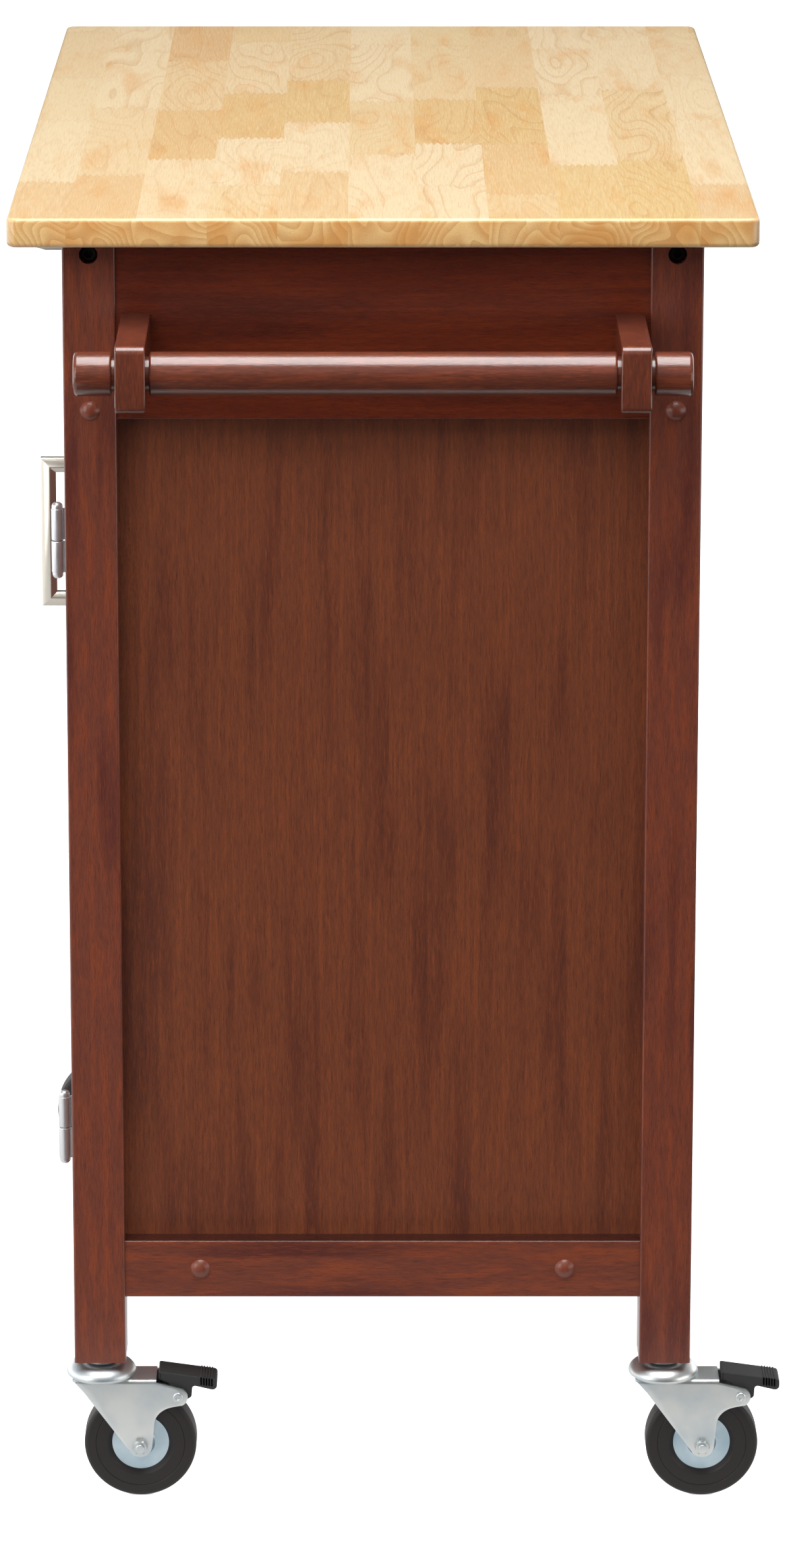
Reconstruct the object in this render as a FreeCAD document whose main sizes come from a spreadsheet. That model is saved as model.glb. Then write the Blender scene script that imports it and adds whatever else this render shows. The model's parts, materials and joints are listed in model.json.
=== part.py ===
"""Kitchen cart: a cabinet with one wide drawer, one door and an open bay, on four casters.

Millimetres. The origin is on the floor under the middle of the worktop. +X points to
the towel bar end, -Y to the front with the drawer and the door, +Z up.
"""
import FreeCAD
import Part
import math
import os

import Sketcher
from FreeCAD import Rotation, Vector

# Driving dimensions. Each one is a cell of the sheet with this alias.
SIZES = {
    # Worktop
    "top_length": 762.0,
    "top_depth": 476.0,
    "top_thick": 19.0,
    "top_corner": 7.0,
    "top_round": 5.0,
    "top_under_round": 3.0,
    "overall_height": 882.0,
    # Posts and how far the worktop hangs over them
    "end_overhang": 39.0,
    "front_overhang": 33.0,
    "post_size": 34.0,
    "post_round": 1.5,
    # Side frames: apron, bottom rail and the panel between them
    "side_set_in": 2.0,
    "side_thick": 20.0,
    "apron_height": 120.0,
    "side_rail_height": 39.5,
    "frame_lift": 46.0,
    "panel_set_in": 13.0,
    "panel_thick": 5.0,
    "groove_depth": 6.0,
    "board_round": 1.0,
    # Front and back rails
    "rail_height": 24.0,
    "front_rail_depth": 30.0,
    "back_rail_depth": 25.0,
    "kick_rail_thick": 18.0,
    "drawer_room": 78.0,
    "back_panel_thick": 5.0,
    # Inner boards
    "shelf_thick": 18.0,
    "partition_thick": 18.0,
    "loose_shelf_thick": 15.0,
    "loose_shelf_share": 0.495,
    "loose_shelf_play": 1.5,
    "pin_radius": 2.5,
    "pin_seat": 8.0,
    "pin_reach": 9.0,
    "pin_from_edge": 8.0,
    # Bolts, barrel nuts, plugs and screws
    "counterbore_radius": 6.0,
    "counterbore_depth": 10.0,
    "rail_counterbore_depth": 8.0,
    "bolt_radius": 3.0,
    "bolt_head_radius": 5.0,
    "bolt_head_height": 6.0,
    "nut_reach": 25.0,
    "nut_radius": 5.0,
    "nut_length": 14.0,
    "bolt_past_nut": 6.0,
    "shelf_bolt_from_post": 50.0,
    "drill_play": 0.2,
    "plug_radius": 6.6,
    "plug_height": 3.4,
    "plug_round": 3.0,
    "screw_radius": 2.0,
    "screw_head_radius": 4.0,
    "screw_head_height": 3.0,
    "screw_recess": 8.0,
    "screw_bite": 13.0,
    "screw_place_share": 0.34,
    "screw_pitch_share": 0.48,
    # Towel bar
    "bar_radius": 14.0,
    "bar_drop": 72.0,
    "bar_stand": 81.0,
    "bar_neck_radius": 11.0,
    "bar_past_post": 23.0,
    "bar_cap_length": 24.0,
    "bar_cap_round": 2.5,
    "bar_tenon_radius": 6.0,
    "bar_tenon_length": 15.0,
    "bracket_from_post": 13.0,
    "bracket_thick": 19.0,
    "bracket_height": 43.0,
    "bracket_past_bar": 22.0,
    "bracket_round": 5.0,
    "bracket_edge_round": 1.0,
    "bracket_gap": 2.0,
    "bracket_screw_reach": 45.0,
    "bracket_screw_pitch": 20.0,
    # Door
    "door_thick": 18.0,
    "door_gap": 2.0,
    "stile_width": 45.0,
    "door_panel_inset": 6.0,
    "door_round": 1.5,
    # Hinges
    "leaf_thick": 1.5,
    "leaf_play": 0.4,
    "leaf_width": 16.0,
    "hinge_height": 51.0,
    "upper_hinge_drop": 80.5,
    "lower_hinge_lift": 66.0,
    "barrel_radius": 4.0,
    "barrel_stand": 6.6,
    "barrel_seam": 0.4,
    "finial_radius": 3.5,
    "finial_height": 4.2,
    "finial_round": 2.4,
    "hinge_pin_radius": 2.0,
    "hinge_pin_reach": 20.0,
    "running_play": 0.06,
    # Magnetic catch
    "catch_length": 46.0,
    "catch_depth": 14.0,
    "catch_height": 12.0,
    "catch_place": 22.0,
    "catch_gap": 0.5,
    # Pulls
    "pull_length": 107.0,
    "pull_reach": 33.0,
    "pull_bar": 10.5,
    "pull_round": 2.5,
    "door_pull_drop": 143.5,
    # Drawer
    "drawer_side_thick": 12.0,
    "drawer_side_height": 60.0,
    "drawer_lift": 9.0,
    "drawer_back_room": 10.0,
    "drawer_bottom_thick": 5.0,
    "drawer_bottom_lift": 4.0,
    "drawer_groove": 6.0,
    "slide_room": 12.7,
    "runner_hold": 14.0,
    "runner_height": 26.0,
    "runner_sheet": 1.5,
    "runner_flange_gap": 1.7,
    "runner_set_back": 2.0,
    "slide_height": 22.4,
    "slide_thick": 10.9,
    # Casters
    "wheel_diameter": 75.0,
    "tyre_room": 7.3,
    "wheel_width": 20.0,
    "trail": 26.0,
    "stem_radius": 5.5,
    "stem_length": 35.0,
    "stem_collar_radius": 11.0,
    "stem_collar_height": 4.6,
    "kingpin_head_radius": 8.0,
    "kingpin_head_height": 2.5,
    "swivel_play": 0.3,
    "cup_radius": 23.2,
    "cup_height": 9.1,
    "cup_rim_height": 2.0,
    "cup_shoulder_radius": 15.0,
    "fork_sheet": 2.0,
    "fork_gap": 1.5,
    "fork_front": 19.0,
    "fork_plain_back": 27.0,
    "fork_brake_back": 37.0,
    "fork_shoulder": 8.5,
    "fork_boss_radius": 8.0,
    "axle_radius": 3.0,
    "axle_nut_radius": 5.6,
    "axle_nut_height": 4.0,
    "axle_end": 2.5,
    "tyre_depth": 18.5,
    "hub_face_step": 3.5,
    "hub_boss_radius": 7.0,
    "tyre_bevel": 3.0,
    "tyre_round": 2.5,
    "tyre_ring_inset": 7.5,
    "tyre_ring_width": 1.2,
    "tyre_ring_depth": 0.6,
    # Brake pedals on the two casters at the towel bar end
    "pedal_pivot_set_in": 1.5,
    "pedal_pivot_lift": 6.3,
    "pedal_arm_radius": 6.5,
    "rivet_radius": 2.0,
    "rivet_head_radius": 3.4,
    "rivet_head_height": 1.4,
    "pedal_half_width": 10.5,
    "pedal_inner": 38.5,
    "pedal_outer": 77.5,
    "pedal_thick": 4.5,
    "pedal_drop": 5.5,
    "pedal_rise": 4.7,
    "pedal_round": 1.5,
    "shoe_gap": 1.55,
    "shoe_back_share": 0.691,
    "shoe_up_share": 0.723,
    "shoe_half_width": 7.5,
    "shoe_foot_half_width": 3.5,
    "shoe_foot_lift": 2.5,
}
BOLT_ROWS = 2
SCREWS_PER_RAIL_HALF = 2
FULL_TURN = 360
HALF_TURN = 180
QUARTER_TURN = 90
NUT_SIDES = 6
SAME_PLACE = 1e-4

UPRIGHT = Vector(0, 0, 1)
SIDEWAYS = Vector(1, 0, 0)
ACROSS = Vector(0, 1, 0)

doc = FreeCAD.newDocument("kitchen_cart")
sheet = doc.addObject("Spreadsheet::Sheet", "Sizes")
for row, (alias, value) in enumerate(SIZES.items(), start=1):
    sheet.set(f"A{row}", alias.replace("_", " "))
    sheet.set(f"B{row}", str(value))
    sheet.setAlias(f"B{row}", alias)
doc.recompute()


class Length:
    """A length with its value now and the expression that gives it from the sheet."""

    def __init__(self, value, text):
        self.value = float(value)
        self.text = text

    def __add__(self, other):
        other = as_length(other)
        return Length(self.value + other.value, f"({self.text} + {other.text})")

    def __sub__(self, other):
        other = as_length(other)
        return Length(self.value - other.value, f"({self.text} - {other.text})")

    def __mul__(self, factor):
        factor = as_length(factor)
        return Length(self.value * factor.value, f"({self.text} * {factor.text})")

    def __truediv__(self, factor):
        factor = as_length(factor)
        return Length(self.value / factor.value, f"({self.text} / {factor.text})")

    def __neg__(self):
        return Length(-self.value, f"(0 - {self.text})")


def as_length(item):
    """A plain zero or a plain factor can stand where a length does."""
    return item if isinstance(item, Length) else Length(item, repr(float(item)))


class Named:
    """Gives each driving dimension by its name, tied to its cell."""

    def __getattr__(self, name):
        return Length(SIZES[name], f"Sizes.{name}")


S = Named()
ZERO = as_length(0)


def bind(item, prop, length):
    """Ties a property of an object to the sheet."""
    item.setExpression(prop, as_length(length).text)


def side(sign, near, far):
    """The stretch between two distances from the middle, on the side that sign gives."""
    near, far = as_length(near), as_length(far)
    return (near, far) if sign > 0 else (-far, -near)


def both(reach):
    """The stretch that reaches as far to either side of the middle."""
    return (-reach, reach)


# For each axis: the plane a sketch lies on, and the two axes of the cart that run across
# and up in the sketch. The normal of the XZ plane points to -Y, the other two to plus.
SKETCH_PLANES = {
    "X": ("YZ_Plane", "YZ"),
    "Y": ("XZ_Plane", "XZ"),
    "Z": ("XY_Plane", "XY"),
}
BACKWARD_NORMAL = "Y"
# The points of a curve in the order in which the sketcher numbers them
CURVE_POINTS = ("whole curve", "start", "end", "centre")
START = CURVE_POINTS.index("start")
END = CURVE_POINTS.index("end")
CENTRE = CURVE_POINTS.index("centre")


def pin_point(sketch, line, point, across, up):
    """Holds one point of a sketch at its two distances from the sketch's origin."""
    for kind, length in (("DistanceX", across), ("DistanceY", up)):
        rule = Sketcher.Constraint(kind, line, point, length.value)
        index = sketch.addConstraint(rule)
        bind(sketch, f"Constraints[{index}]", length)


def polygon(*points):
    """A closed outline through points, each given as two lengths in the cart."""
    def draw(sketch, shift_across, shift_up):
        places = [(as_length(u) - shift_across, as_length(v) - shift_up) for u, v in points]
        corners = [Vector(u.value, v.value, 0) for u, v in places]
        first = sketch.GeometryCount
        for start, end in zip(corners, corners[1:] + corners[:1]):
            sketch.addGeometry(Part.LineSegment(start, end), False)
        for step, (across, up) in enumerate(places):
            line = first + step
            before = first + (step - 1) % len(places)
            sketch.addConstraint(Sketcher.Constraint("Coincident", before, END, line, START))
            pin_point(sketch, line, START, across, up)
    return draw


def rectangle(across, up):
    """A rectangle between two stretches."""
    return polygon((across[0], up[0]), (across[1], up[0]), (across[1], up[1]), (across[0], up[1]))


def disc(across, up, radius):
    """A circle about a point given as two lengths in the cart."""
    def draw(sketch, shift_across, shift_up):
        u = as_length(across) - shift_across
        v = as_length(up) - shift_up
        ring = Part.Circle(Vector(u.value, v.value, 0), UPRIGHT, radius.value)
        line = sketch.addGeometry(ring, False)
        index = sketch.addConstraint(Sketcher.Constraint("Radius", line, radius.value))
        bind(sketch, f"Constraints[{index}]", radius)
        pin_point(sketch, line, CENTRE, u, v)
    return draw


def runs_along(axis):
    """Picks straight edges that run along one axis."""
    direction = {"X": SIDEWAYS, "Y": ACROSS, "Z": UPRIGHT}[axis]

    def chosen(edge):
        ends = [corner.Point for corner in edge.Vertexes]
        if len(ends) < 2 or edge.Curve.TypeId != "Part::GeomLine":
            return False
        step = (ends[1] - ends[0]).normalize()
        return step.cross(direction).Length < SAME_PLACE
    return chosen


def lies_at(axis, level):
    """Picks edges that lie wholly at one level along an axis of the piece."""
    index = "XYZ".index(axis)

    def chosen(edge):
        return all(abs(corner.Point[index] - level) < SAME_PLACE for corner in edge.Vertexes)
    return chosen


class Piece:
    """A body of the document and its place, built up by features.

    Sketches are given in the cart's own lengths unless the piece is local; a local
    piece is drawn about its own origin and may be turned.
    """

    def __init__(self, label, place=(0, 0, 0), local=False, turn=None):
        self.body = doc.addObject("PartDesign::Body", label)
        self.body.Label = label
        place = [as_length(part) for part in place]
        if turn is not None:
            self.body.Placement.Rotation = turn
        for letter, length in zip("xyz", place):
            bind(self.body, f"Placement.Base.{letter}", length)
        self.shift = {axis: ZERO if local else length for axis, length in zip("XYZ", place)}

    def origin_feature(self, role):
        return next(item for item in self.body.Origin.OriginFeatures if item.Role == role)

    def sketch(self, axis, level, *shapes):
        role, (across, up) = SKETCH_PLANES[axis]
        sketch = self.body.newObject("Sketcher::SketchObject", f"{self.body.Label}_sketch")
        sketch.AttachmentSupport = [(self.origin_feature(role), "")]
        sketch.MapMode = "FlatFace"
        level = as_length(level) - self.shift[axis]
        bind(sketch, "AttachmentOffset.Base.z", -level if axis == BACKWARD_NORMAL else level)
        for shape in shapes:
            shape(sketch, self.shift[across], self.shift[up])
        return sketch

    def slab(self, kind, axis, stretch, *shapes):
        """Adds or cuts what the shapes cover along a stretch of one axis."""
        low, high = stretch
        sketch = self.sketch(axis, low, *shapes)
        feature = self.body.newObject(f"PartDesign::{kind}", f"{self.body.Label}_{kind}")
        feature.Profile = sketch
        bind(feature, "Length", as_length(high) - low)
        feature.Reversed = (axis != BACKWARD_NORMAL) == (kind == "Pocket")
        return self

    def pad(self, axis, stretch, *shapes):
        return self.slab("Pad", axis, stretch, *shapes)

    def cut(self, axis, stretch, *shapes):
        return self.slab("Pocket", axis, stretch, *shapes)

    def turned(self, axis, level, spine, outline):
        """Turns an outline about a line of its own sketch, a full turn."""
        sketch = self.sketch(axis, level, outline)
        feature = self.body.newObject("PartDesign::Revolution", f"{self.body.Label}_turned")
        feature.Profile = sketch
        feature.ReferenceAxis = (sketch, [spine])
        feature.Angle = FULL_TURN
        return self

    def ease(self, radius, *choices, kind="Fillet"):
        """Rounds or bevels the edges that every choice picks."""
        doc.recompute()
        base = self.body.Tip
        names = [f"Edge{number}" for number, edge in enumerate(base.Shape.Edges, start=1)
                 if all(choice(edge) for choice in choices)]
        feature = self.body.newObject(f"PartDesign::{kind}", f"{self.body.Label}_{kind}")
        feature.Base = (base, names)
        bind(feature, "Radius" if kind == "Fillet" else "Size", radius)
        return self

    def mirrored(self, role):
        """Adds the mirror image of all that is there, across a plane of the origin."""
        feature = self.body.newObject("PartDesign::Mirrored", f"{self.body.Label}_mirrored")
        feature.TransformMode = "Whole shape"
        feature.MirrorPlane = (self.origin_feature(role), [""])
        self.body.Tip = feature
        return self

    def row(self, role, reversed_way, pitch, count):
        """Repeats all that is there along an axis of the origin."""
        feature = self.body.newObject("PartDesign::LinearPattern", f"{self.body.Label}_row")
        feature.TransformMode = "Whole shape"
        feature.Direction = (self.origin_feature(role), [""])
        feature.Reversed = reversed_way
        bind(feature, "Length", pitch * (count - 1))
        feature.Occurrences = count
        self.body.Tip = feature
        return self


pieces = []


def keep(item):
    """Marks a finished sub-part for writing."""
    pieces.append(item.body if isinstance(item, Piece) else item)
    return item


def board(label, x, y, z, rounding=None, along=None):
    """A plain board between three stretches, its long edges eased."""
    place = ((x[0] + x[1]) / 2, (y[0] + y[1]) / 2, as_length(z[0]))
    piece = Piece(label, place)
    piece.pad("Z", z, rectangle(x, y))
    if rounding is not None:
        piece.ease(rounding, runs_along(along))
    return piece


def group(label, *parts):
    """Several separate solids that share one sub-part."""
    item = doc.addObject("Part::Compound", label)
    item.Label = label
    item.Links = [part.body if isinstance(part, Piece) else part for part in parts]
    return keep(item)


# Places that several pieces share
wheel_radius = S.wheel_diameter / 2
crown_top = S.wheel_diameter + S.tyre_room + S.fork_sheet
cup_top = crown_top + S.cup_height
caster_height = cup_top + S.stem_collar_height
frame_level = caster_height + S.frame_lift
hub_radius = wheel_radius - S.tyre_depth
shoe_tip = (S.trail + (wheel_radius + S.shoe_gap) * S.shoe_back_share,
            wheel_radius + (wheel_radius + S.shoe_gap) * S.shoe_up_share)
pedal_pivot = (shoe_tip[0] - S.pedal_pivot_set_in, shoe_tip[1] + S.pedal_pivot_lift)
top_under = S.overall_height - S.top_thick
end_face = S.top_length / 2 - S.end_overhang
front_face = S.top_depth / 2 - S.front_overhang
post_in_x = end_face - S.post_size
post_in_y = front_face - S.post_size
post_mid_x = end_face - S.post_size / 2
post_mid_y = front_face - S.post_size / 2
side_face = end_face - S.side_set_in
side_back = side_face - S.side_thick
rail_face = front_face - S.side_set_in
apron_level = top_under - S.apron_height
side_rail_top = frame_level + S.side_rail_height
panel_face = side_face - S.panel_set_in
panel_back = panel_face - S.panel_thick
panel_span = (side_rail_top - S.groove_depth, apron_level + S.groove_depth)
top_rail_span = (top_under - S.rail_height, top_under)
mid_rail_top = top_rail_span[0] - S.drawer_room
mid_rail_span = (mid_rail_top - S.rail_height, mid_rail_top)
top_bolt_level = top_under - S.rail_height / 2
mid_bolt_level = mid_rail_top - S.rail_height / 2
shelf_bolt_level = frame_level + S.side_rail_height / 2
shelf_bolt_y = post_in_y - S.shelf_bolt_from_post
shelf_span = (shelf_bolt_level - S.shelf_thick / 2, shelf_bolt_level + S.shelf_thick / 2)
loose_shelf_level = shelf_span[1] + (mid_rail_span[0] - shelf_span[1]) * S.loose_shelf_share
back_rail_y = (rail_face - S.back_panel_thick - S.back_rail_depth, rail_face - S.back_panel_thick)
front_rail_y = (-rail_face, S.front_rail_depth - rail_face)
kick_back = S.kick_rail_thick - rail_face
post_bolt_x = end_face - S.counterbore_depth
rail_bolt_x = side_face - S.rail_counterbore_depth
drill = S.bolt_radius + S.drill_play
screw_drill = S.screw_radius + S.drill_play
pin_y = post_in_y + S.pin_from_edge
pin_z = loose_shelf_level - S.pin_radius
screw_x = post_in_x * S.screw_place_share
screw_pitch = post_in_x * S.screw_pitch_share
bar_x = side_face + S.bar_stand
bar_level = top_under - S.bar_drop
bar_reach = post_in_y + S.bar_past_post
bracket_y = post_in_y - S.bracket_from_post
drawer_level = mid_rail_top + S.drawer_lift
door_span = (side_rail_top + S.door_gap, mid_rail_span[0] - S.door_gap)
upper_hinge_level = door_span[1] - S.upper_hinge_drop
hinge_spacing = upper_hinge_level - door_span[0] - S.lower_hinge_lift
hinge_x = post_in_x - S.leaf_thick - S.leaf_play / 2
hinge_y = -(front_face + S.barrel_stand)


def worktop():
    """The butcher-block top: rounded corners, a rounder upper edge, screw holes below."""
    half_length = S.top_length / 2
    half_depth = S.top_depth / 2
    top = Piece("worktop", (0, 0, top_under))
    top.pad("Z", (top_under, S.overall_height), rectangle(both(half_length), both(half_depth)))
    top.ease(S.top_corner, runs_along("Z"))
    top.ease(S.top_round, lies_at("Z", S.top_thick.value))
    top.ease(S.top_under_round, lies_at("Z", 0))
    holes = [disc(x * sx, post_mid_y * sy, screw_drill)
             for sx in (-1, 1) for sy in (-1, 1)
             for x in (screw_x, screw_x + screw_pitch)]
    top.cut("Z", (top_under, top_under + S.screw_bite), *holes)
    keep(top)


def post(label, sx, sy):
    """A corner post with bolt holes, a stopped groove for the side panel and a stem bore."""
    x = side(sx, post_in_x, end_face)
    y = side(sy, post_in_y, front_face)
    corner = board(label, x, y, (caster_height, top_under), S.post_round, "Z")
    bolts = [disc(post_mid_y * sy, level, drill) for level in (top_bolt_level, mid_bolt_level)]
    sinks = [disc(post_mid_y * sy, level, S.counterbore_radius)
             for level in (top_bolt_level, mid_bolt_level)]
    corner.cut("X", x, *bolts)
    corner.cut("X", side(sx, post_bolt_x, end_face), *sinks)
    groove = rectangle(side(sx, panel_back, panel_face), side(sy, post_in_y, post_in_y + S.groove_depth))
    corner.cut("Z", panel_span, groove)
    bore = disc(post_mid_x * sx, post_mid_y * sy, S.stem_radius + S.drill_play)
    corner.cut("Z", (caster_height, caster_height + S.stem_length), bore)
    seat = disc(pin_y * sy, pin_z, S.pin_radius + S.running_play)
    corner.cut("X", side(sx, post_in_x, post_in_x + S.pin_seat), seat)
    keep(corner)


def side_frame(name, sx):
    """Apron, bottom rail and panel of one end of the cabinet."""
    x = side(sx, side_back, side_face)
    groove_x = side(sx, panel_back, panel_face)
    reach = both(post_in_y)
    apron = board(f"side_apron_{name}", x, reach, (apron_level, top_under), S.board_round, "Y")
    apron.cut("Z", (apron_level, panel_span[1]), rectangle(groove_x, reach))
    if sx > 0:
        holes = [disc(bracket_y * sy, bar_level + S.bracket_screw_pitch * sz / 2, screw_drill)
                 for sy in (-1, 1) for sz in (-1, 1)]
        apron.cut("X", x, *holes)
    keep(apron)
    rail = board(f"side_rail_{name}", x, reach, (frame_level, side_rail_top), S.board_round, "Y")
    rail.cut("Z", (panel_span[0], side_rail_top), rectangle(groove_x, reach))
    places = [shelf_bolt_y * sy for sy in (-1, 1)]
    rail.cut("X", x, *[disc(y, shelf_bolt_level, drill) for y in places])
    rail.cut("X", side(sx, rail_bolt_x, side_face),
             *[disc(y, shelf_bolt_level, S.counterbore_radius) for y in places])
    keep(rail)
    panel_reach = both(post_in_y + S.groove_depth)
    keep(board(f"side_panel_{name}", groove_x, panel_reach, panel_span))


def end_bores(rail, sx, end, y, level, bottom):
    """The bolt's hole in one end of a board, and the barrel nut's hole from below."""
    tip = end - S.nut_reach - S.bolt_past_nut
    rail.cut("X", side(sx, tip, end), disc(y, level, drill))
    nut_hole = disc((end - S.nut_reach) * sx, y, S.nut_radius + S.drill_play)
    rail.cut("Z", (bottom, level + S.nut_length / 2), nut_hole)


def cross_rail(label, y, z, bolt_y, screwed):
    """A rail between two posts, bolted at both ends, with screw holes if it holds the top."""
    rail = board(label, both(post_in_x), y, z, S.board_round, "X")
    for sx in (-1, 1):
        end_bores(rail, sx, post_in_x, bolt_y, z[0] + S.rail_height / 2, z[0])
    if screwed:
        places = [x * sx for sx in (-1, 1) for x in (screw_x, screw_x + screw_pitch)]
        rail.cut("Z", z, *[disc(x, bolt_y, screw_drill) for x in places])
        head = S.screw_head_radius + S.drill_play
        rail.cut("Z", (z[0], z[0] + S.screw_recess), *[disc(x, bolt_y, head) for x in places])
    keep(rail)


def cabinet_rails():
    """Two rails at the front, two at the back, and the low front rail under the door."""
    cross_rail("front_top_rail", front_rail_y, top_rail_span, -post_mid_y, True)
    cross_rail("front_mid_rail", front_rail_y, mid_rail_span, -post_mid_y, False)
    cross_rail("back_top_rail", back_rail_y, top_rail_span, post_mid_y, True)
    cross_rail("back_mid_rail", back_rail_y, mid_rail_span, post_mid_y, False)
    kick = (-rail_face, kick_back)
    keep(board("front_bottom_rail", both(post_in_x), kick, (frame_level, side_rail_top),
               S.board_round, "X"))


def inner_boards():
    """Back panel, bottom shelf, partition and the two loose shelves."""
    back = (rail_face - S.back_panel_thick, rail_face)
    keep(board("back_panel", both(post_in_x), back, (frame_level, top_under)))
    shelf = board("bottom_shelf", both(side_back), (kick_back, back[0]), shelf_span)
    for sx in (-1, 1):
        outside = side(sx, post_in_x, side_back)
        shelf.cut("Z", shelf_span, rectangle(outside, (kick_back, -post_in_y)),
                  rectangle(outside, (post_in_y, back[0])))
        for sy in (-1, 1):
            end_bores(shelf, sx, side_back, shelf_bolt_y * sy, shelf_bolt_level, shelf_span[0])
    keep(shelf)
    half = S.partition_thick / 2
    middle = board("centre_partition", both(half), (-rail_face, back[0]),
                   (shelf_span[1], mid_rail_span[0]))
    middle.cut("Z", (shelf_span[1], side_rail_top), rectangle(both(half), (-rail_face, kick_back)))
    seats = [disc(pin_y * sy, pin_z, S.pin_radius + S.running_play) for sy in (-1, 1)]
    middle.cut("X", both(half), *seats)
    keep(middle)
    play = S.loose_shelf_play
    shelf_x = (half + play, panel_back - play)
    shelf_y = (kick_back, back[0] - play)
    shelf_z = (loose_shelf_level, loose_shelf_level + S.loose_shelf_thick)
    for name, sx in (("right", 1), ("left", -1)):
        loose = board(f"shelf_{name}", side(sx, *shelf_x), shelf_y, shelf_z, S.board_round, "X")
        outside = side(sx, post_in_x - play, panel_back - play)
        loose.cut("Z", shelf_z, rectangle(outside, (shelf_y[0], play - post_in_y)),
                  rectangle(outside, (post_in_y - play, shelf_y[1])))
        keep(loose)


def shelf_pins():
    """Eight pins: one in each post and four in the partition, under the loose shelves."""
    pins = Piece("shelf_pins")
    half = S.partition_thick / 2
    pin = disc(pin_y, pin_z, S.pin_radius)
    pins.pad("X", (post_in_x - S.pin_reach, post_in_x + S.pin_seat), pin)
    pins.pad("X", (half - S.pin_seat, half + S.pin_reach), pin)
    keep(pins.mirrored("YZ_Plane").mirrored("XZ_Plane"))


def bolt(piece, seat, end, y, level):
    """A bolt along X with its head outwards, its tip just past the barrel nut."""
    tip = end - S.nut_reach - S.bolt_past_nut
    outer = seat + S.bolt_head_height
    piece.turned("Y", y, "Edge1", polygon(
        (tip, level), (outer, level), (outer, level + S.bolt_head_radius),
        (seat, level + S.bolt_head_radius), (seat, level + S.bolt_radius),
        (tip, level + S.bolt_radius)))


def barrel_nut(piece, end, y, level):
    """A short upright cylinder with the bolt's cross hole."""
    centre = end - S.nut_reach
    low, high = level - S.nut_length / 2, level + S.nut_length / 2
    piece.pad("Z", (low, high), disc(centre, y, S.nut_radius))
    piece.cut("X", (centre - S.nut_radius, centre + S.nut_radius), disc(y, level, drill))


def frame_bolts():
    """Twelve bolts with barrel nuts that hold the ends to the rails and the bottom shelf."""
    shanks = Piece("bolt_shanks")
    bolt(shanks, post_bolt_x, post_in_x, post_mid_y, top_bolt_level)
    shanks.row("Z_Axis", True, top_bolt_level - mid_bolt_level, BOLT_ROWS)
    bolt(shanks, rail_bolt_x, side_back, shelf_bolt_y, shelf_bolt_level)
    shanks.mirrored("YZ_Plane").mirrored("XZ_Plane")
    nuts = Piece("barrel_nuts")
    barrel_nut(nuts, post_in_x, post_mid_y, top_bolt_level)
    nuts.row("Z_Axis", True, top_bolt_level - mid_bolt_level, BOLT_ROWS)
    barrel_nut(nuts, side_back, shelf_bolt_y, shelf_bolt_level)
    nuts.mirrored("YZ_Plane").mirrored("XZ_Plane")
    group("frame_bolts", shanks, nuts)


def dome_plug(piece, face, y, level, seat):
    """A domed wood plug in a counterbore, its stem stopping short of the bolt head."""
    stem = S.counterbore_radius - S.drill_play
    inner = seat + S.bolt_head_height + S.drill_play
    piece.turned("Y", y, "Edge1", polygon(
        (inner, level), (face + S.plug_height, level), (face + S.plug_height, level + S.plug_radius),
        (face, level + S.plug_radius), (face, level + stem), (inner, level + stem)))
    piece.ease(S.plug_round, lies_at("X", (face + S.plug_height).value))


def dome_plugs():
    """Plugs over the lower bolt of every post and both bolts of each side rail."""
    plugs = Piece("dome_plugs")
    dome_plug(plugs, end_face, post_mid_y, mid_bolt_level, post_bolt_x)
    dome_plug(plugs, side_face, shelf_bolt_y, shelf_bolt_level, rail_bolt_x)
    keep(plugs.mirrored("YZ_Plane").mirrored("XZ_Plane"))


def wood_screws():
    """Eight screws up into the worktop and four into the towel bar brackets."""
    lifted = top_under - S.rail_height + S.screw_recess
    tip = top_under + S.screw_bite
    up = Piece("worktop_screws")
    up.turned("Y", post_mid_y, "Edge1", polygon(
        (screw_x, tip), (screw_x, lifted - S.screw_head_height),
        (screw_x + S.screw_head_radius, lifted - S.screw_head_height),
        (screw_x + S.screw_head_radius, lifted), (screw_x + S.screw_radius, lifted),
        (screw_x + S.screw_radius, tip)))
    up.row("X_Axis", False, screw_pitch, SCREWS_PER_RAIL_HALF)
    up.mirrored("YZ_Plane").mirrored("XZ_Plane")
    level = bar_level - S.bracket_screw_pitch / 2
    head = side_back - S.screw_head_height
    tip = side_back + S.bracket_screw_reach
    out = Piece("bracket_screws")
    out.turned("Y", bracket_y, "Edge1", polygon(
        (head, level), (tip, level), (tip, level + S.screw_radius),
        (side_back, level + S.screw_radius), (side_back, level + S.screw_head_radius),
        (head, level + S.screw_head_radius)))
    out.row("Z_Axis", False, S.bracket_screw_pitch, BOLT_ROWS)
    out.mirrored("XZ_Plane")
    group("wood_screws", up, out)


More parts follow.
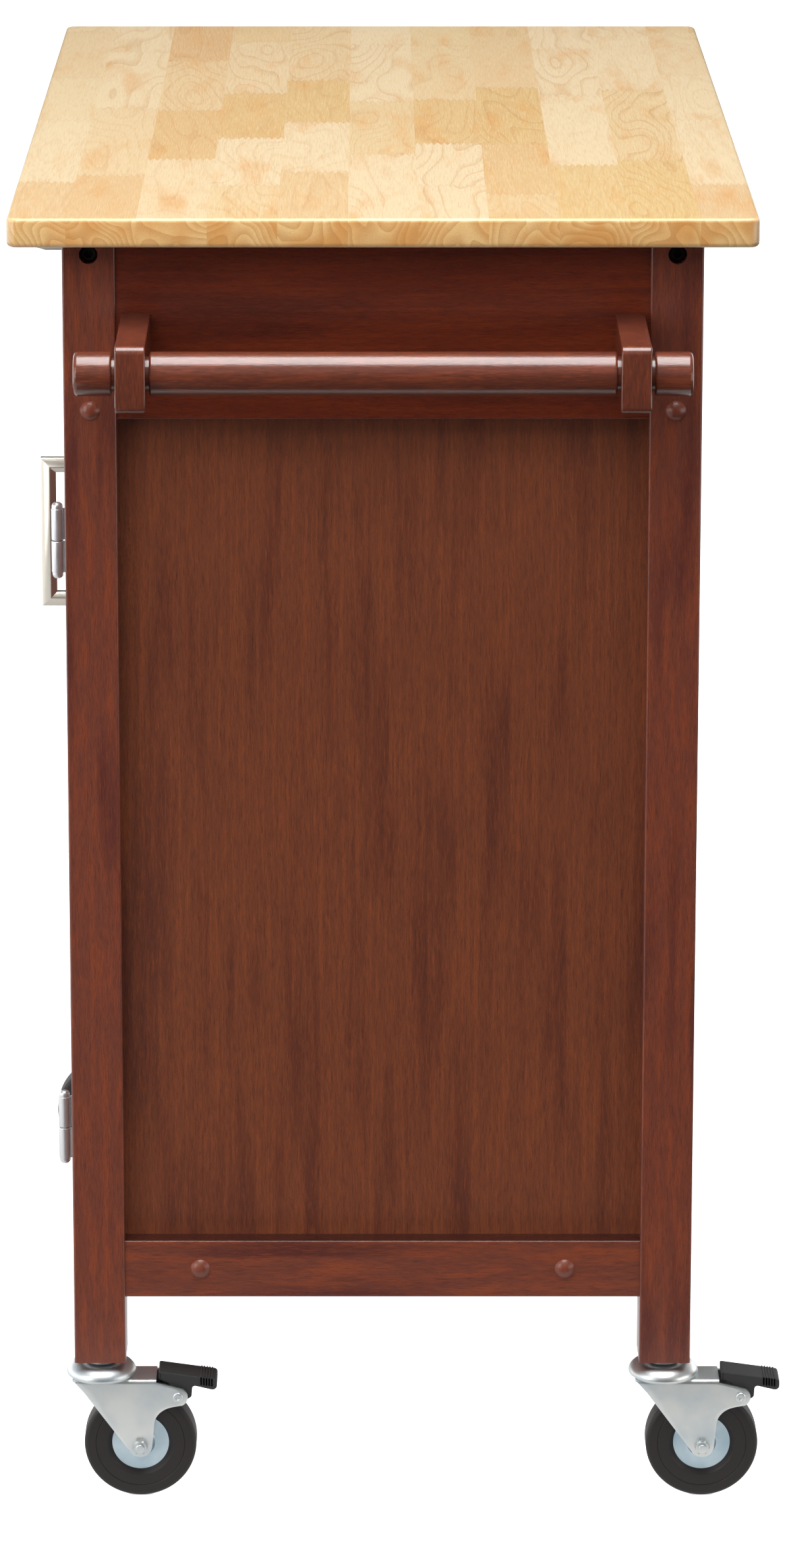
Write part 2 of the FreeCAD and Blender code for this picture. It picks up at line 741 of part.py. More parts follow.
def towel_bar():
    """A dowel with necks through two blocks, and a cap on each end."""
    cap_start = bar_reach - S.bar_cap_length
    shoulder = bracket_y - S.bracket_thick / 2 - S.bracket_gap
    tenon_end = cap_start + S.bar_tenon_length
    dowel = Piece("towel_bar", (bar_x, 0, bar_level), local=True)
    dowel.turned("X", 0, "H_Axis", polygon(
        (0, 0), (tenon_end, 0), (tenon_end, S.bar_tenon_radius), (cap_start, S.bar_tenon_radius),
        (cap_start, S.bar_neck_radius), (shoulder, S.bar_neck_radius),
        (shoulder, S.bar_radius), (0, S.bar_radius)))
    dowel.ease(S.bar_cap_round / 2, lies_at("Y", shoulder.value), rounder_than(S.bar_neck_radius))
    dowel.mirrored("XZ_Plane")
    keep(dowel)
    caps = Piece("towel_bar_caps", (bar_x, 0, bar_level), local=True)
    hole = S.bar_tenon_radius + S.drill_play
    caps.turned("X", 0, "H_Axis", polygon(
        (tenon_end, 0), (bar_reach, 0), (bar_reach, S.bar_radius), (cap_start, S.bar_radius),
        (cap_start, hole), (tenon_end, hole)))
    caps.ease(S.bar_cap_round, lies_at("Y", bar_reach.value))
    caps.ease(S.bar_cap_round / 2, lies_at("Y", cap_start.value), rounder_than(S.bar_neck_radius))
    caps.mirrored("XZ_Plane")
    keep(caps)


def rounder_than(radius):
    """Picks round edges larger than a radius."""
    def chosen(edge):
        curve = edge.Curve
        return curve.TypeId == "Part::GeomCircle" and curve.Radius > radius.value + SAME_PLACE
    return chosen


def towel_brackets():
    """Two blocks on the apron that carry the bar."""
    half = S.bracket_thick / 2
    x = (side_face, bar_x + S.bracket_past_bar)
    z = (bar_level - S.bracket_height / 2, bar_level + S.bracket_height / 2)
    y = (bracket_y - half, bracket_y + half)
    blocks = Piece("towel_brackets")
    blocks.pad("Z", z, rectangle(x, y))
    blocks.ease(S.bracket_round, runs_along("Y"), lies_at("X", x[1].value))
    blocks.ease(S.bracket_edge_round, lies_at("Y", y[0].value), beyond("X", x[0]))
    blocks.ease(S.bracket_edge_round, lies_at("Y", y[1].value), beyond("X", x[0]))
    blocks.cut("Y", y, disc(bar_x, bar_level, S.bar_neck_radius + S.drill_play))
    screw_end = side_back + S.bracket_screw_reach
    for sz in (-1, 1):
        level = bar_level + S.bracket_screw_pitch * sz / 2
        blocks.cut("X", (side_face, screw_end), disc(bracket_y, level, screw_drill))
    keep(blocks.mirrored("XZ_Plane"))


def beyond(axis, level):
    """Picks edges whose ends don't all lie at one level."""
    at_level = lies_at(axis, level.value)

    def chosen(edge):
        return not at_level(edge)
    return chosen


def hinge_half(label, sz, plate_x, neck_x):
    """One leaf with its knuckle, for both hinges: sz is -1 for the lower knuckle."""
    low = upper_hinge_level - S.hinge_height / 2
    high = upper_hinge_level + S.hinge_height / 2
    seam = upper_hinge_level + S.barrel_seam * sz / 2
    plate_y = (-front_face, S.leaf_width - front_face)
    knuckle = (low + S.finial_height, seam) if sz < 0 else (seam, high - S.finial_height)
    finial = (low, low + S.finial_height) if sz < 0 else (high - S.finial_height, high)
    leaf = Piece(label)
    leaf.pad("Z", (low, high), rectangle(plate_x, plate_y))
    leaf.pad("Z", knuckle, rectangle(neck_x, (hinge_y, -front_face)))
    leaf.pad("Z", knuckle, disc(hinge_x, hinge_y, S.barrel_radius))
    leaf.pad("Z", finial, disc(hinge_x, hinge_y, S.finial_radius))
    tip = finial[0] if sz < 0 else finial[1]
    leaf.ease(S.finial_round, lies_at("Z", tip.value), round_edge)
    pin_end = upper_hinge_level + S.hinge_pin_reach
    if sz < 0:
        leaf.pad("Z", (seam, pin_end), disc(hinge_x, hinge_y, S.hinge_pin_radius))
    else:
        bore = S.hinge_pin_radius + S.running_play
        leaf.cut("Z", (seam, pin_end + S.barrel_seam), disc(hinge_x, hinge_y, bore))
    leaf.row("Z_Axis", True, hinge_spacing, BOLT_ROWS)
    keep(leaf)


def round_edge(edge):
    """Picks whole circles."""
    return edge.Curve.TypeId == "Part::GeomCircle"


def hinges():
    """Two lift-off hinges: lower knuckle with the pin on the post, upper one on the door."""
    post_plate = (post_in_x - S.leaf_thick, post_in_x)
    door_edge = post_in_x - S.leaf_thick * 2 - S.leaf_play
    door_plate = (door_edge, door_edge + S.leaf_thick)
    hinge_half("post_hinge_leaves", -1, post_plate, post_plate)
    hinge_half("door_hinge_leaves", 1, door_plate, door_plate)


def pull(label, place, turn=None):
    """A square loop handle, drawn upright about the middle of its two feet."""
    half = S.pull_length / 2
    reach, bar = S.pull_reach, S.pull_bar
    loop = Piece(label, place, local=True, turn=turn)
    loop.pad("X", both(bar / 2), polygon(
        (0, -half), (-reach, -half), (-reach, half), (0, half), (0, half - bar),
        (bar - reach, half - bar), (bar - reach, bar - half), (0, bar - half)))
    loop.ease(S.pull_round, lies_at("X", (bar / 2).value), beyond("Y", ZERO))
    loop.ease(S.pull_round, lies_at("X", -(bar / 2).value), beyond("Y", ZERO))
    keep(loop)


def door():
    """A framed door in the right half of the front, with its pull near the partition."""
    x = (S.partition_thick / 2 + S.door_gap, post_in_x - S.leaf_thick * 2 - S.leaf_play)
    y = (-front_face, S.door_thick - front_face)
    z = door_span
    inner_x = (x[0] + S.stile_width, x[1] - S.stile_width)
    panel_front = S.door_panel_inset - front_face
    panel_y = (panel_front, panel_front + S.panel_thick)
    groove = S.groove_depth
    for label, stretch, inner, into in (
            ("door_stile_pull", (x[0], inner_x[0]), inner_x[0], -groove),
            ("door_stile_hinge", (inner_x[1], x[1]), inner_x[1], groove)):
        stile = board(label, stretch, y, z, S.door_round, "Z")
        cut_x = (inner + into, inner) if into.value < 0 else (inner, inner + into)
        stile.cut("Z", (z[0] + S.stile_width - groove, z[1] - S.stile_width + groove),
                  rectangle(cut_x, panel_y))
        keep(stile)
    for label, stretch, inner, into in (
            ("door_rail_top", (z[1] - S.stile_width, z[1]), z[1] - S.stile_width, groove),
            ("door_rail_bottom", (z[0], z[0] + S.stile_width), z[0] + S.stile_width, -groove)):
        rail = board(label, inner_x, y, stretch, S.door_round, "X")
        cut_z = (inner + into, inner) if into.value < 0 else (inner, inner + into)
        rail.cut("Z", cut_z, rectangle(inner_x, panel_y))
        keep(rail)
    keep(board("door_panel", (inner_x[0] - groove, inner_x[1] + groove), panel_y,
               (z[0] + S.stile_width - groove, z[1] - S.stile_width + groove)))
    pull("door_pull", (x[0] + S.stile_width / 2, -front_face, z[1] - S.door_pull_drop))


def magnetic_catch():
    """The catch under the middle rail that holds the door shut."""
    start = S.partition_thick / 2 + S.catch_place
    front = S.door_thick - front_face + S.catch_gap
    keep(board("magnetic_catch", (start, start + S.catch_length), (front, front + S.catch_depth),
               (mid_rail_span[0] - S.catch_height, mid_rail_span[0]), S.board_round, "X"))


def drawer():
    """One wide drawer: a front, a grooved box and a pull in the middle."""
    front_x = both(post_in_x - S.door_gap)
    front_z = (mid_rail_span[1] + S.door_gap, top_rail_span[0] - S.door_gap)
    front_y = (-front_face, S.door_thick - front_face)
    outer = post_in_x - S.slide_room
    inner = outer - S.drawer_side_thick
    level, rise = drawer_level, S.drawer_side_height
    back_y = back_rail_y[0] - S.drawer_back_room
    bottom = (level + S.drawer_bottom_lift, level + S.drawer_bottom_lift + S.drawer_bottom_thick)
    groove_reach = inner + S.drawer_groove
    face = board("drawer_front", front_x, front_y, front_z, S.door_round, "X")
    face.cut("Y", (front_y[1] - S.drawer_groove, front_y[1]), rectangle(both(groove_reach), bottom))
    keep(face)
    for name, sx in (("right", 1), ("left", -1)):
        wall = board(f"drawer_side_{name}", side(sx, inner, outer), (front_y[1], back_y),
                     (level, level + rise), S.board_round, "Y")
        wall.cut("Y", (front_y[1], back_y), rectangle(side(sx, inner, groove_reach), bottom))
        keep(wall)
    keep(board("drawer_back", both(inner), (back_y - S.drawer_side_thick, back_y),
               (bottom[1], level + rise), S.board_round, "X"))
    keep(board("drawer_bottom", both(groove_reach), (front_y[1] - S.drawer_groove, back_y), bottom))
    middle = (front_z[0] + front_z[1]) / 2
    pull("drawer_pull", (0, -front_face, middle), Rotation(ACROSS, QUARTER_TURN))


def drawer_runners():
    """Channels on the posts and the bars on the drawer's sides that run in them."""
    middle = drawer_level + S.drawer_side_height / 2
    half, sheet_thick = S.runner_height / 2, S.runner_sheet
    web = post_in_x - sheet_thick
    tip = post_in_x - S.slide_room + S.runner_flange_gap
    start = S.door_thick - front_face + S.runner_set_back
    channels = Piece("drawer_runners")
    channels.pad("Y", (start, post_in_y + S.runner_hold), polygon(
        (post_in_x, middle - half), (post_in_x, middle + half), (tip, middle + half),
        (tip, middle + half - sheet_thick), (web, middle + half - sheet_thick),
        (web, middle - half + sheet_thick), (tip, middle - half + sheet_thick), (tip, middle - half)))
    keep(channels.mirrored("YZ_Plane"))
    inner = post_in_x - S.slide_room
    bars = Piece("drawer_slides")
    rise = both(S.slide_height / 2)
    bars.pad("Y", (start, back_rail_y[0] - S.drawer_back_room),
             rectangle((inner, inner + S.slide_thick), (middle + rise[0], middle + rise[1])))
    keep(bars.mirrored("YZ_Plane"))


def caster_stems():
    """Four stems in the posts, each with a collar and a kingpin head under the crown."""
    x = post_mid_x
    pin = S.stem_radius
    crown_under = crown_top - S.fork_sheet
    head_top = crown_under - S.swivel_play
    collar_low = cup_top + S.swivel_play
    stems = Piece("caster_stems")
    stems.turned("Y", post_mid_y, "Edge1", polygon(
        (x, head_top - S.kingpin_head_height), (x, caster_height + S.stem_length),
        (x + pin, caster_height + S.stem_length), (x + pin, caster_height),
        (x + S.stem_collar_radius, caster_height), (x + S.stem_collar_radius, collar_low),
        (x + pin, collar_low), (x + pin, head_top), (x + S.kingpin_head_radius, head_top),
        (x + S.kingpin_head_radius, head_top - S.kingpin_head_height)))
    keep(stems.mirrored("YZ_Plane").mirrored("XZ_Plane"))


def fork_outline(braked):
    """The side plate's edge, from its front shoulder round the axle to the back."""
    boss = S.fork_boss_radius
    low = wheel_radius - boss / 2
    front = ((-S.fork_front, crown_top), (S.fork_shoulder - S.fork_front, crown_top - S.fork_shoulder),
             (S.trail - boss * 0.85, low))
    if not braked:
        return front + ((S.trail + boss * 0.9, low), (S.fork_plain_back + boss, wheel_radius + boss * 2),
                        (S.fork_plain_back, crown_top))
    arm = S.pedal_arm_radius
    pivot, level = pedal_pivot
    return front + ((S.trail + boss * 0.95, low), (S.trail + boss * 1.15, level - arm * 3),
                    (S.trail + boss * 1.5, level - arm * 1.5), (S.trail + boss * 2, level - arm),
                    (pivot, level - arm), (pivot, level + arm), (S.fork_brake_back, crown_top - arm / 2),
                    (S.fork_front, crown_top))


def caster_fork(name, place, turn, braked):
    """Pressed fork with its raceway cup, and the axle bolt through it."""
    inside = S.wheel_width / 2 + S.fork_gap
    outside = inside + S.fork_sheet
    back = S.fork_brake_back if braked else S.fork_plain_back
    bore = S.stem_radius + S.running_play
    axle_hole = S.axle_radius + S.running_play
    fork = Piece(f"fork_shell_{name}", place, local=True, turn=turn)
    fork.pad("Z", (crown_top - S.fork_sheet, crown_top), rectangle(both(outside), (-S.fork_front, back)))
    for sx in (-1, 1):
        stretch = side(sx, inside, outside)
        fork.pad("X", stretch, polygon(*fork_outline(braked)))
        fork.pad("X", stretch, disc(S.trail, wheel_radius, S.fork_boss_radius))
        if braked:
            fork.pad("X", stretch, disc(*pedal_pivot, S.pedal_arm_radius))
    rim = crown_top + (S.cup_height - S.cup_rim_height) / 2
    slope = S.cup_radius - S.fork_sheet
    fork.turned("Y", 0, "V_Axis", polygon(
        (bore, crown_top), (slope, crown_top), (S.cup_radius, rim - S.cup_rim_height),
        (S.cup_radius, rim), (slope, rim + S.cup_rim_height), (S.cup_shoulder_radius, cup_top),
        (bore, cup_top)))
    fork.cut("Z", (crown_top - S.fork_sheet, crown_top), disc(0, 0, bore))
    fork.cut("X", both(outside), disc(S.trail, wheel_radius, axle_hole))
    if braked:
        reach = outside + S.rivet_head_height
        fork.pad("X", both(reach), disc(*pedal_pivot, S.rivet_radius))
        for sx in (-1, 1):
            fork.pad("X", side(sx, outside, reach), disc(*pedal_pivot, S.rivet_head_radius))
    axle = Piece(f"axle_{name}", place, local=True, turn=turn)
    nut_end = outside + S.axle_nut_height
    axle.pad("X", (-nut_end, nut_end + S.axle_end), disc(S.trail, wheel_radius, S.axle_radius))
    for sx in (-1, 1):
        axle.pad("X", side(sx, outside, nut_end), hexagon(S.trail, wheel_radius, S.axle_nut_radius))
    group(f"caster_fork_{name}", fork, axle)


def hexagon(across, up, radius):
    """A hexagon about a point, with a corner on top."""
    turns = [math.tau * step / NUT_SIDES for step in range(NUT_SIDES)]
    return polygon(*[(across + radius * math.sin(turn), up + radius * math.cos(turn))
                     for turn in turns])


def caster_wheel(name, place, way):
    """Hub and tyre, turned about the axle."""
    x, y, z = place
    centre = (x, y + S.trail * way, wheel_radius)
    half = S.wheel_width / 2
    bore = S.axle_radius + S.running_play
    step = half - S.hub_face_step
    hub = Piece(f"wheel_hub_{name}", centre, local=True)
    hub.turned("Y", 0, "H_Axis", polygon(
        (-half, bore), (half, bore), (half, S.hub_boss_radius), (step, S.hub_boss_radius + S.fork_sheet),
        (step, hub_radius), (-step, hub_radius), (-step, S.hub_boss_radius + S.fork_sheet),
        (-half, S.hub_boss_radius)))
    keep(hub)
    bevel, width = S.tyre_bevel, S.tyre_ring_width
    ring = wheel_radius - S.tyre_ring_inset
    dip = half - S.tyre_ring_depth
    tyre = Piece(f"wheel_tyre_{name}", centre, local=True)
    tyre.turned("Y", 0, "H_Axis", polygon(
        (-step, hub_radius), (step, hub_radius), (half, hub_radius + bevel),
        (half, ring), (dip, ring), (dip, ring + width), (half, ring + width), (half, wheel_radius),
        (-half, wheel_radius), (-half, ring + width), (-dip, ring + width), (-dip, ring),
        (-half, ring), (-half, hub_radius + bevel)))
    tyre.ease(S.tyre_round, round_edge, rounder_than(ring + width))
    keep(tyre)


def brake_pedal(name, place):
    """Moulded lever on the fork's rivet, with a shoe above the tread."""
    pedal = Piece(f"brake_pedal_{name}", place, local=True)
    thick, drop, top = S.pedal_thick, S.pedal_drop, crown_top + S.pedal_rise
    tip, low = shoe_tip
    half, foot_half, foot = S.shoe_half_width, S.shoe_foot_half_width, low + S.shoe_foot_lift
    pedal.pad("X", both(S.pedal_half_width), polygon(
        (S.pedal_inner, top - thick), (S.pedal_inner, top), (S.pedal_outer, top - drop),
        (S.pedal_outer, top - drop - thick), (tip + half, top - drop / 2 - thick),
        (tip + half, pedal_pivot[1]), (tip + foot_half, foot), (tip, low), (tip - foot_half, foot),
        (tip - half, pedal_pivot[1]), (tip - half, top - thick - drop / 4)))
    pedal.ease(S.pedal_round, lies_at("Y", S.pedal_outer.value))
    bore = S.rivet_radius + S.running_play
    pedal.cut("X", both(S.pedal_half_width), disc(*pedal_pivot, bore))
    keep(pedal)


def casters():
    """Four swivel casters. The left pair trails to the front, the braked right pair to the back."""
    for name, sx, sy, way in (("front_right", 1, -1, 1), ("back_right", 1, 1, 1),
                              ("front_left", -1, -1, -1), ("back_left", -1, 1, -1)):
        place = (post_mid_x * sx, post_mid_y * sy, ZERO)
        turn = None if way > 0 else Rotation(UPRIGHT, HALF_TURN)
        braked = sx > 0
        caster_fork(name, place, turn, braked)
        caster_wheel(name, place, way)
        if braked:
            brake_pedal(name, place)


def build():
    worktop()
    for name, sx, sy in (("front_right", 1, -1), ("back_right", 1, 1),
                         ("front_left", -1, -1), ("back_left", -1, 1)):
        post(f"post_{name}", sx, sy)
    side_frame("right", 1)
    side_frame("left", -1)
    cabinet_rails()
    inner_boards()
    shelf_pins()
    frame_bolts()
    dome_plugs()
    wood_screws()
    towel_bar()
    towel_brackets()
    hinges()
    door()
    magnetic_catch()
    drawer()
    drawer_runners()
    caster_stems()
    casters()
    doc.recompute()


def check():
    """Stops on a failed object, a cut that cut nothing, or a shape that isn't sound."""
    for item in doc.Objects:
        if {"Invalid", "Error"} & set(item.State):
            raise RuntimeError(f"{item.Label} failed: {item.State}")
        if item.TypeId == "PartDesign::Pocket":
            if item.Shape.Volume >= item.BaseFeature.Shape.Volume - SAME_PLACE:
                raise RuntimeError(f"{item.Label} cuts nothing")
    for item in pieces:
        if item.Shape.isNull() or not item.Shape.isValid() or not item.Shape.Solids:
            raise RuntimeError(f"{item.Label} has no sound shape")


def write():
    os.makedirs("parts", exist_ok=True)
    for item in pieces:
        item.Shape.exportStep(f"parts/{item.Label}.step")
    print(len(pieces), "sub-parts written")


build()
check()
write()
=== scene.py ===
"""Looks of the kitchen cart, built on its CAD frame and laid out as an add-on.

Metres, in the frame of the CAD part: +X points to the towel bar end, which faces the
camera, -Y to the front with the drawer and the door, +Z up. Every piece is a parametric
surface in that frame, and its place is read from the CAD nodes and joints.
"""
import json
import math

import bmesh
import bpy
import numpy as np
from bpy.props import FloatProperty, FloatVectorProperty, IntProperty, PointerProperty
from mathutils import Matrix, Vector


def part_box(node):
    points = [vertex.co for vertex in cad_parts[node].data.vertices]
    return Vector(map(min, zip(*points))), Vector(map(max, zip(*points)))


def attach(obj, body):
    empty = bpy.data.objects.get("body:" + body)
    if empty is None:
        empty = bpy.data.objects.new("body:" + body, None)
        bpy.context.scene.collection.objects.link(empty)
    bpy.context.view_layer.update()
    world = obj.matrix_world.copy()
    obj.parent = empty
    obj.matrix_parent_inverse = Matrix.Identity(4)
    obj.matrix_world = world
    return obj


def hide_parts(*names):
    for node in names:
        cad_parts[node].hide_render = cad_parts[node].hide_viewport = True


bl_info = {
    "name": "Kitchen cart looks",
    "version": (1, 0, 0),
    "blender": (4, 5, 0),
    "location": "View3D > Sidebar > Cart",
    "description": "Dresses the kitchen cart's CAD frame and sets up its studio",
    "category": "Object",
}

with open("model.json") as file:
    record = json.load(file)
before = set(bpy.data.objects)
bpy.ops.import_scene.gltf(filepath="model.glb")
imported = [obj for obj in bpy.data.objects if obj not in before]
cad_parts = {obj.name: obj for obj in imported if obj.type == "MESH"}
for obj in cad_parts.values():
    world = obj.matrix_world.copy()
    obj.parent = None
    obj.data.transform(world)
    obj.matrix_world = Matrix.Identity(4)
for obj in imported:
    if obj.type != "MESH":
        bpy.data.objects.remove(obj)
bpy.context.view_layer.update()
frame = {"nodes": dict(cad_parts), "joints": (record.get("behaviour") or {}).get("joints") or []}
JOINTS = {joint["name"]: joint for joint in frame["joints"]}

MM = 0.001
WELD_DISTANCE = 0.002 * MM
SHARP_ANGLE = math.radians(32)
# How far a slab's flat face goes on inside its rounded edge before the cap starts
SUPPORT = 0.6 * MM
# Points on a rounded corner, and round large and small turned pieces
ARC_STEPS, FINE_SIDES, SMALL_SIDES = 7, 96, 48
# Points up and across a fork's side plates, and along the floor
BOSS_ROWS, PLATE_ROWS, NOTCH_ROWS, SHEET_COLUMNS, FLOOR_LINES = 14, 44, 12, 13, 41
# Between these lie most values of a noise
NOISE_LOW, NOISE_HIGH = 0.3, 0.7
SIDES = (-1, 1)
CORNERS = ("front_right", "back_right", "front_left", "back_left")
BRAKED = ("front_right", "back_right")
STAINED = "mahogany_stained_wood"
BLACK, WHITE = (0, 0, 0, 1), (1, 1, 1, 1)

# The order that puts an outline's two axes and the one along it into X, Y, Z
AXIS_ORDER = {"X": [2, 0, 1], "Y": [0, 2, 1], "Z": [0, 1, 2]}

# Sockets of a Mix node that mixes colours
MIX_FIRST, MIX_SECOND, MIX_RESULT = 6, 7, 2

# How far apart the blocks read a random pattern, so that no two look alike
STAVE_JUMP, FIBRE_JUMP, HILL_JUMP = 37.3, (3.7, 2.9, 4.1), (17, 13, 19)


def linear(code):
    """Linear RGBA of an sRGB hex code: each channel undoes the screen's gamma curve."""
    value = np.array([int(code[at:at + 2], 16) for at in (1, 3, 5)]) / 255
    channels = np.where(value <= 0.04045, value / 12.92, ((value + 0.055) / 1.055) ** 2.4)
    return (*channels.tolist(), 1.0)


# Properties

def length(name, millimetres, description):
    return FloatProperty(name=name, description=description, default=millimetres * MM,
                         unit="LENGTH", precision=4)


def number(name, value, description, unit="NONE"):
    return FloatProperty(name=name, description=description, default=value, unit=unit,
                         precision=3)


def count(name, value, description):
    return IntProperty(name=name, description=description, default=value, min=1)


def angle(name, degrees, description):
    return FloatProperty(name=name, description=description, default=math.radians(degrees),
                         subtype="ANGLE", unit="ROTATION")


def place(name, millimetres, description):
    return FloatVectorProperty(name=name, description=description, subtype="TRANSLATION",
                               default=tuple(np.array(millimetres) * MM), unit="LENGTH")


def colour(name, code, description):
    return FloatVectorProperty(name=name, description=description, subtype="COLOR", size=4,
                               default=linear(code), min=0, max=1)


class WorktopSettings(bpy.types.PropertyGroup):
    corner: length("Corner", 7, "Radius of the four upright corners")
    top_round: length("Upper rounding", 2.7, "Radius of the upper edge")
    under_round: length("Lower rounding", 3.6, "Radius of the lower edge")
    stave: length("Stave width", 44.5, "Width of one glued stave")
    block: length("Block length", 205, "Mean length of a block in a stave")
    finger_pitch: length("Finger pitch", 4.4, "Distance between the fingers of a joint")
    finger_length: length("Finger length", 10, "Length of the fingers of a joint")
    arch_length: length("Arch length", 190, "Size of the growth lines' curves along a block")
    arch_width: length("Arch width", 40, "Size of these curves across a block")
    face_lines: count("Face lines", 11, "Growth lines from the pattern's lowest to its highest place")
    ring_size: length("Ring size", 34, "Size of the curves on the sawn ends")
    end_lines: count("End lines", 13, "The same count on the sawn ends")
    end_pore: length("End pore", 0.4545, "Size of the pores on the sawn ends, coarse enough to show")
    fibre_length: length("Fibre length", 18, "Length of the fibres along a block")
    fibre_width: length("Fibre width", 0.8, "Width of the fibres across a block")
    fibre_height: length("Fibre height", 1.2, "Height of the fibres on the long edges")
    pale: colour("Pale block", "#cdb894", "Palest blocks")
    golden: colour("Golden block", "#bf9f60", "Golden blocks")
    warm: colour("Warm block", "#ba8b50", "Warmest blocks")
    amber: colour("Amber", "#c08845", "Heartwood clouds in the blocks")
    light: colour("Light fibre", "#d8c39c", "Light fibres between the dark ones")
    grain: colour("Grain", "#a87840", "Growth lines and dark fibres")
    joint: colour("Joint", "#825b30", "Glue lines between blocks")
    end_pale: colour("Pale end grain", "#d6b27a", "Early wood on the sawn ends")
    end_warm: colour("Warm end grain", "#c99558", "Early wood on the warmest sawn ends")
    end_dark: colour("Dark end grain", "#a87038", "Late wood on the sawn ends")


class StainSettings(bpy.types.PropertyGroup):
    mid: colour("Stain", "#6c382a", "Middle tone of the stained boards")
    dark: colour("Dark stain", "#4c2420", "Where the stain took more")
    red: colour("Red stain", "#854026", "Streaks where the red shows")
    turned: colour("Turned stain", "#5a2e21", "Middle tone of the towel bar's parts")
    plug: colour("Plug stain", "#6c3526", "Middle tone of the domed plugs")
    pore: colour("Pores", "#260e09", "Pores filled with stain")
    panel_mid: colour("Panel stain", "#6c3a26", "Middle tone of the side panels")
    panel_dark: colour("Dark panel stain", "#4c261f", "Dark clouds of the panels")
    panel_red: colour("Red panel stain", "#844428", "Red streaks of the panels")
    # The aprons' stain is a redder wood, and it is also darker as painted shade for their place under
    # the worktop's overhang
    apron_mid: colour("Apron stain", "#5e2210", "Middle tone of the redder aprons")
    apron_dark: colour("Dark apron stain", "#3c150c", "Dark clouds of the aprons")
    apron_red: colour("Red apron stain", "#702c12", "Red streaks of the aprons")
    cloud: length("Cloud width", 16, "Width of the dark clouds across the grain")
    cloud_length: length("Cloud length", 170, "Length of the dark clouds along the grain")
    patch: length("Patch width", 6, "Width of the boards' red patches across the grain")
    patch_length: length("Patch length", 50, "Length of these patches along the grain")
    veneer_patch: length("Veneer streak", 3, "Width of the panels' red streaks")
    veneer_length: length("Veneer streak length", 110, "Length of the panels' red streaks")
    dash: length("Dash width", 0.9, "Width of the light and dark dashes")
    dash_length: length("Dash length", 9, "Length of these dashes along the grain")
    pore_width: length("Pore width", 0.42, "Width of a pore across the grain, coarse enough to show")
    pore_length: length("Pore length", 7, "Length of a pore along the grain")
    raw: colour("Raw wood", "#dcc096", "Unstained wood of the drawer box")
    raw_dark: colour("Raw grain", "#c19c69", "Grain of the unstained wood")


class MetalSettings(bpy.types.PropertyGroup):
    nickel: colour("Nickel", "#d3cdc2", "Brushed nickel of the pulls")
    steel: colour("Steel", "#dddddf", "Plated steel of hinges, runners and screws")
    zinc: colour("Zinc", "#e0e2df", "Zinc plating of the casters")
    zinc_blue: colour("Blue passivation", "#c6d0d6", "Bluer patches of the plating")
    hub: colour("Hub zinc", "#c8d7de", "Bluer plating of the hub discs")
    hub_blue: colour("Blue hub zinc", "#9fb8c6", "Bluest patches of the hub discs")
    black_oxide: colour("Black oxide", "#2a2725", "Blackened bolt heads")


class TowelBarSettings(bpy.types.PropertyGroup):
    shoulder: length("Shoulder rounding", 1.6, "Rounding where the bar steps down to a neck")
    cap_round: length("Cap rounding", 2.6, "Rounding of a cap's outer end")
    bevel: length("Block bevel", 1.1, "Bevel of the blocks' side edges")
    thick: length("Block thickness", 19, "Thickness of a block")
    block_round: length("Block rounding", 5, "Radius of the blocks' front edges")
    neck: length("Neck radius", 11, "Radius of the bar between block and cap")
    cap: length("Cap length", 24, "Length of a cap")
    tenon: length("Tenon radius", 6, "Radius of the tenon in a cap")
    tenon_length: length("Tenon length", 15, "How far the tenon goes into a cap")
    gap: length("Gap", 2, "From a block to the full bar")
    play: length("Play", 0.2, "Gap round a tenon")


class FastenerSettings(bpy.types.PropertyGroup):
    head: length("Head radius", 5, "Radius of a bolt head")
    head_height: length("Head height", 6, "Height of a bolt head")
    socket: length("Socket radius", 2.9, "Radius of the hexagon socket")
    socket_depth: length("Socket depth", 3.2, "Depth of the hexagon socket")
    shank: length("Shank radius", 3, "Radius of a bolt")
    past: length("Bolt tip", 6, "How far a bolt reaches past its nut's middle")
    edge: length("Edge", 0.5, "Rounding of the nuts' ends and chamfer of the heads")
    nut: length("Barrel nut radius", 5, "Radius of a barrel nut")
    nut_length: length("Barrel nut length", 14, "Length of a barrel nut")
    nut_reach: length("Barrel nut reach", 25, "From a board's end to the barrel nut")
    low_place: length("Low bolt place", 121, "From the middle to the bolts of the low rails")
    plug: length("Plug radius", 6.6, "Radius of a domed plug")
    plug_height: length("Plug height", 3.4, "Height of the dome")
    plug_stem: length("Plug stem", 5.8, "Radius of a plug's stem")
    plug_depth: length("Plug depth", 3.4, "How deep a stem goes into its hole")


class PullSettings(bpy.types.PropertyGroup):
    bar: length("Bar", 10.5, "Side of the bar's square outer size")
    ridge: length("Ridge place", -1.2, "Where the ridge lies across the bar, plus is outwards")
    outer_edge: length("Outer edge", 2.1, "Half the width of the outer edge")
    inner_edge: length("Inner edge", 2.6, "Half the width of the inner edge")
    rounding: length("Rounding", 0.9, "Radius of the ridges")


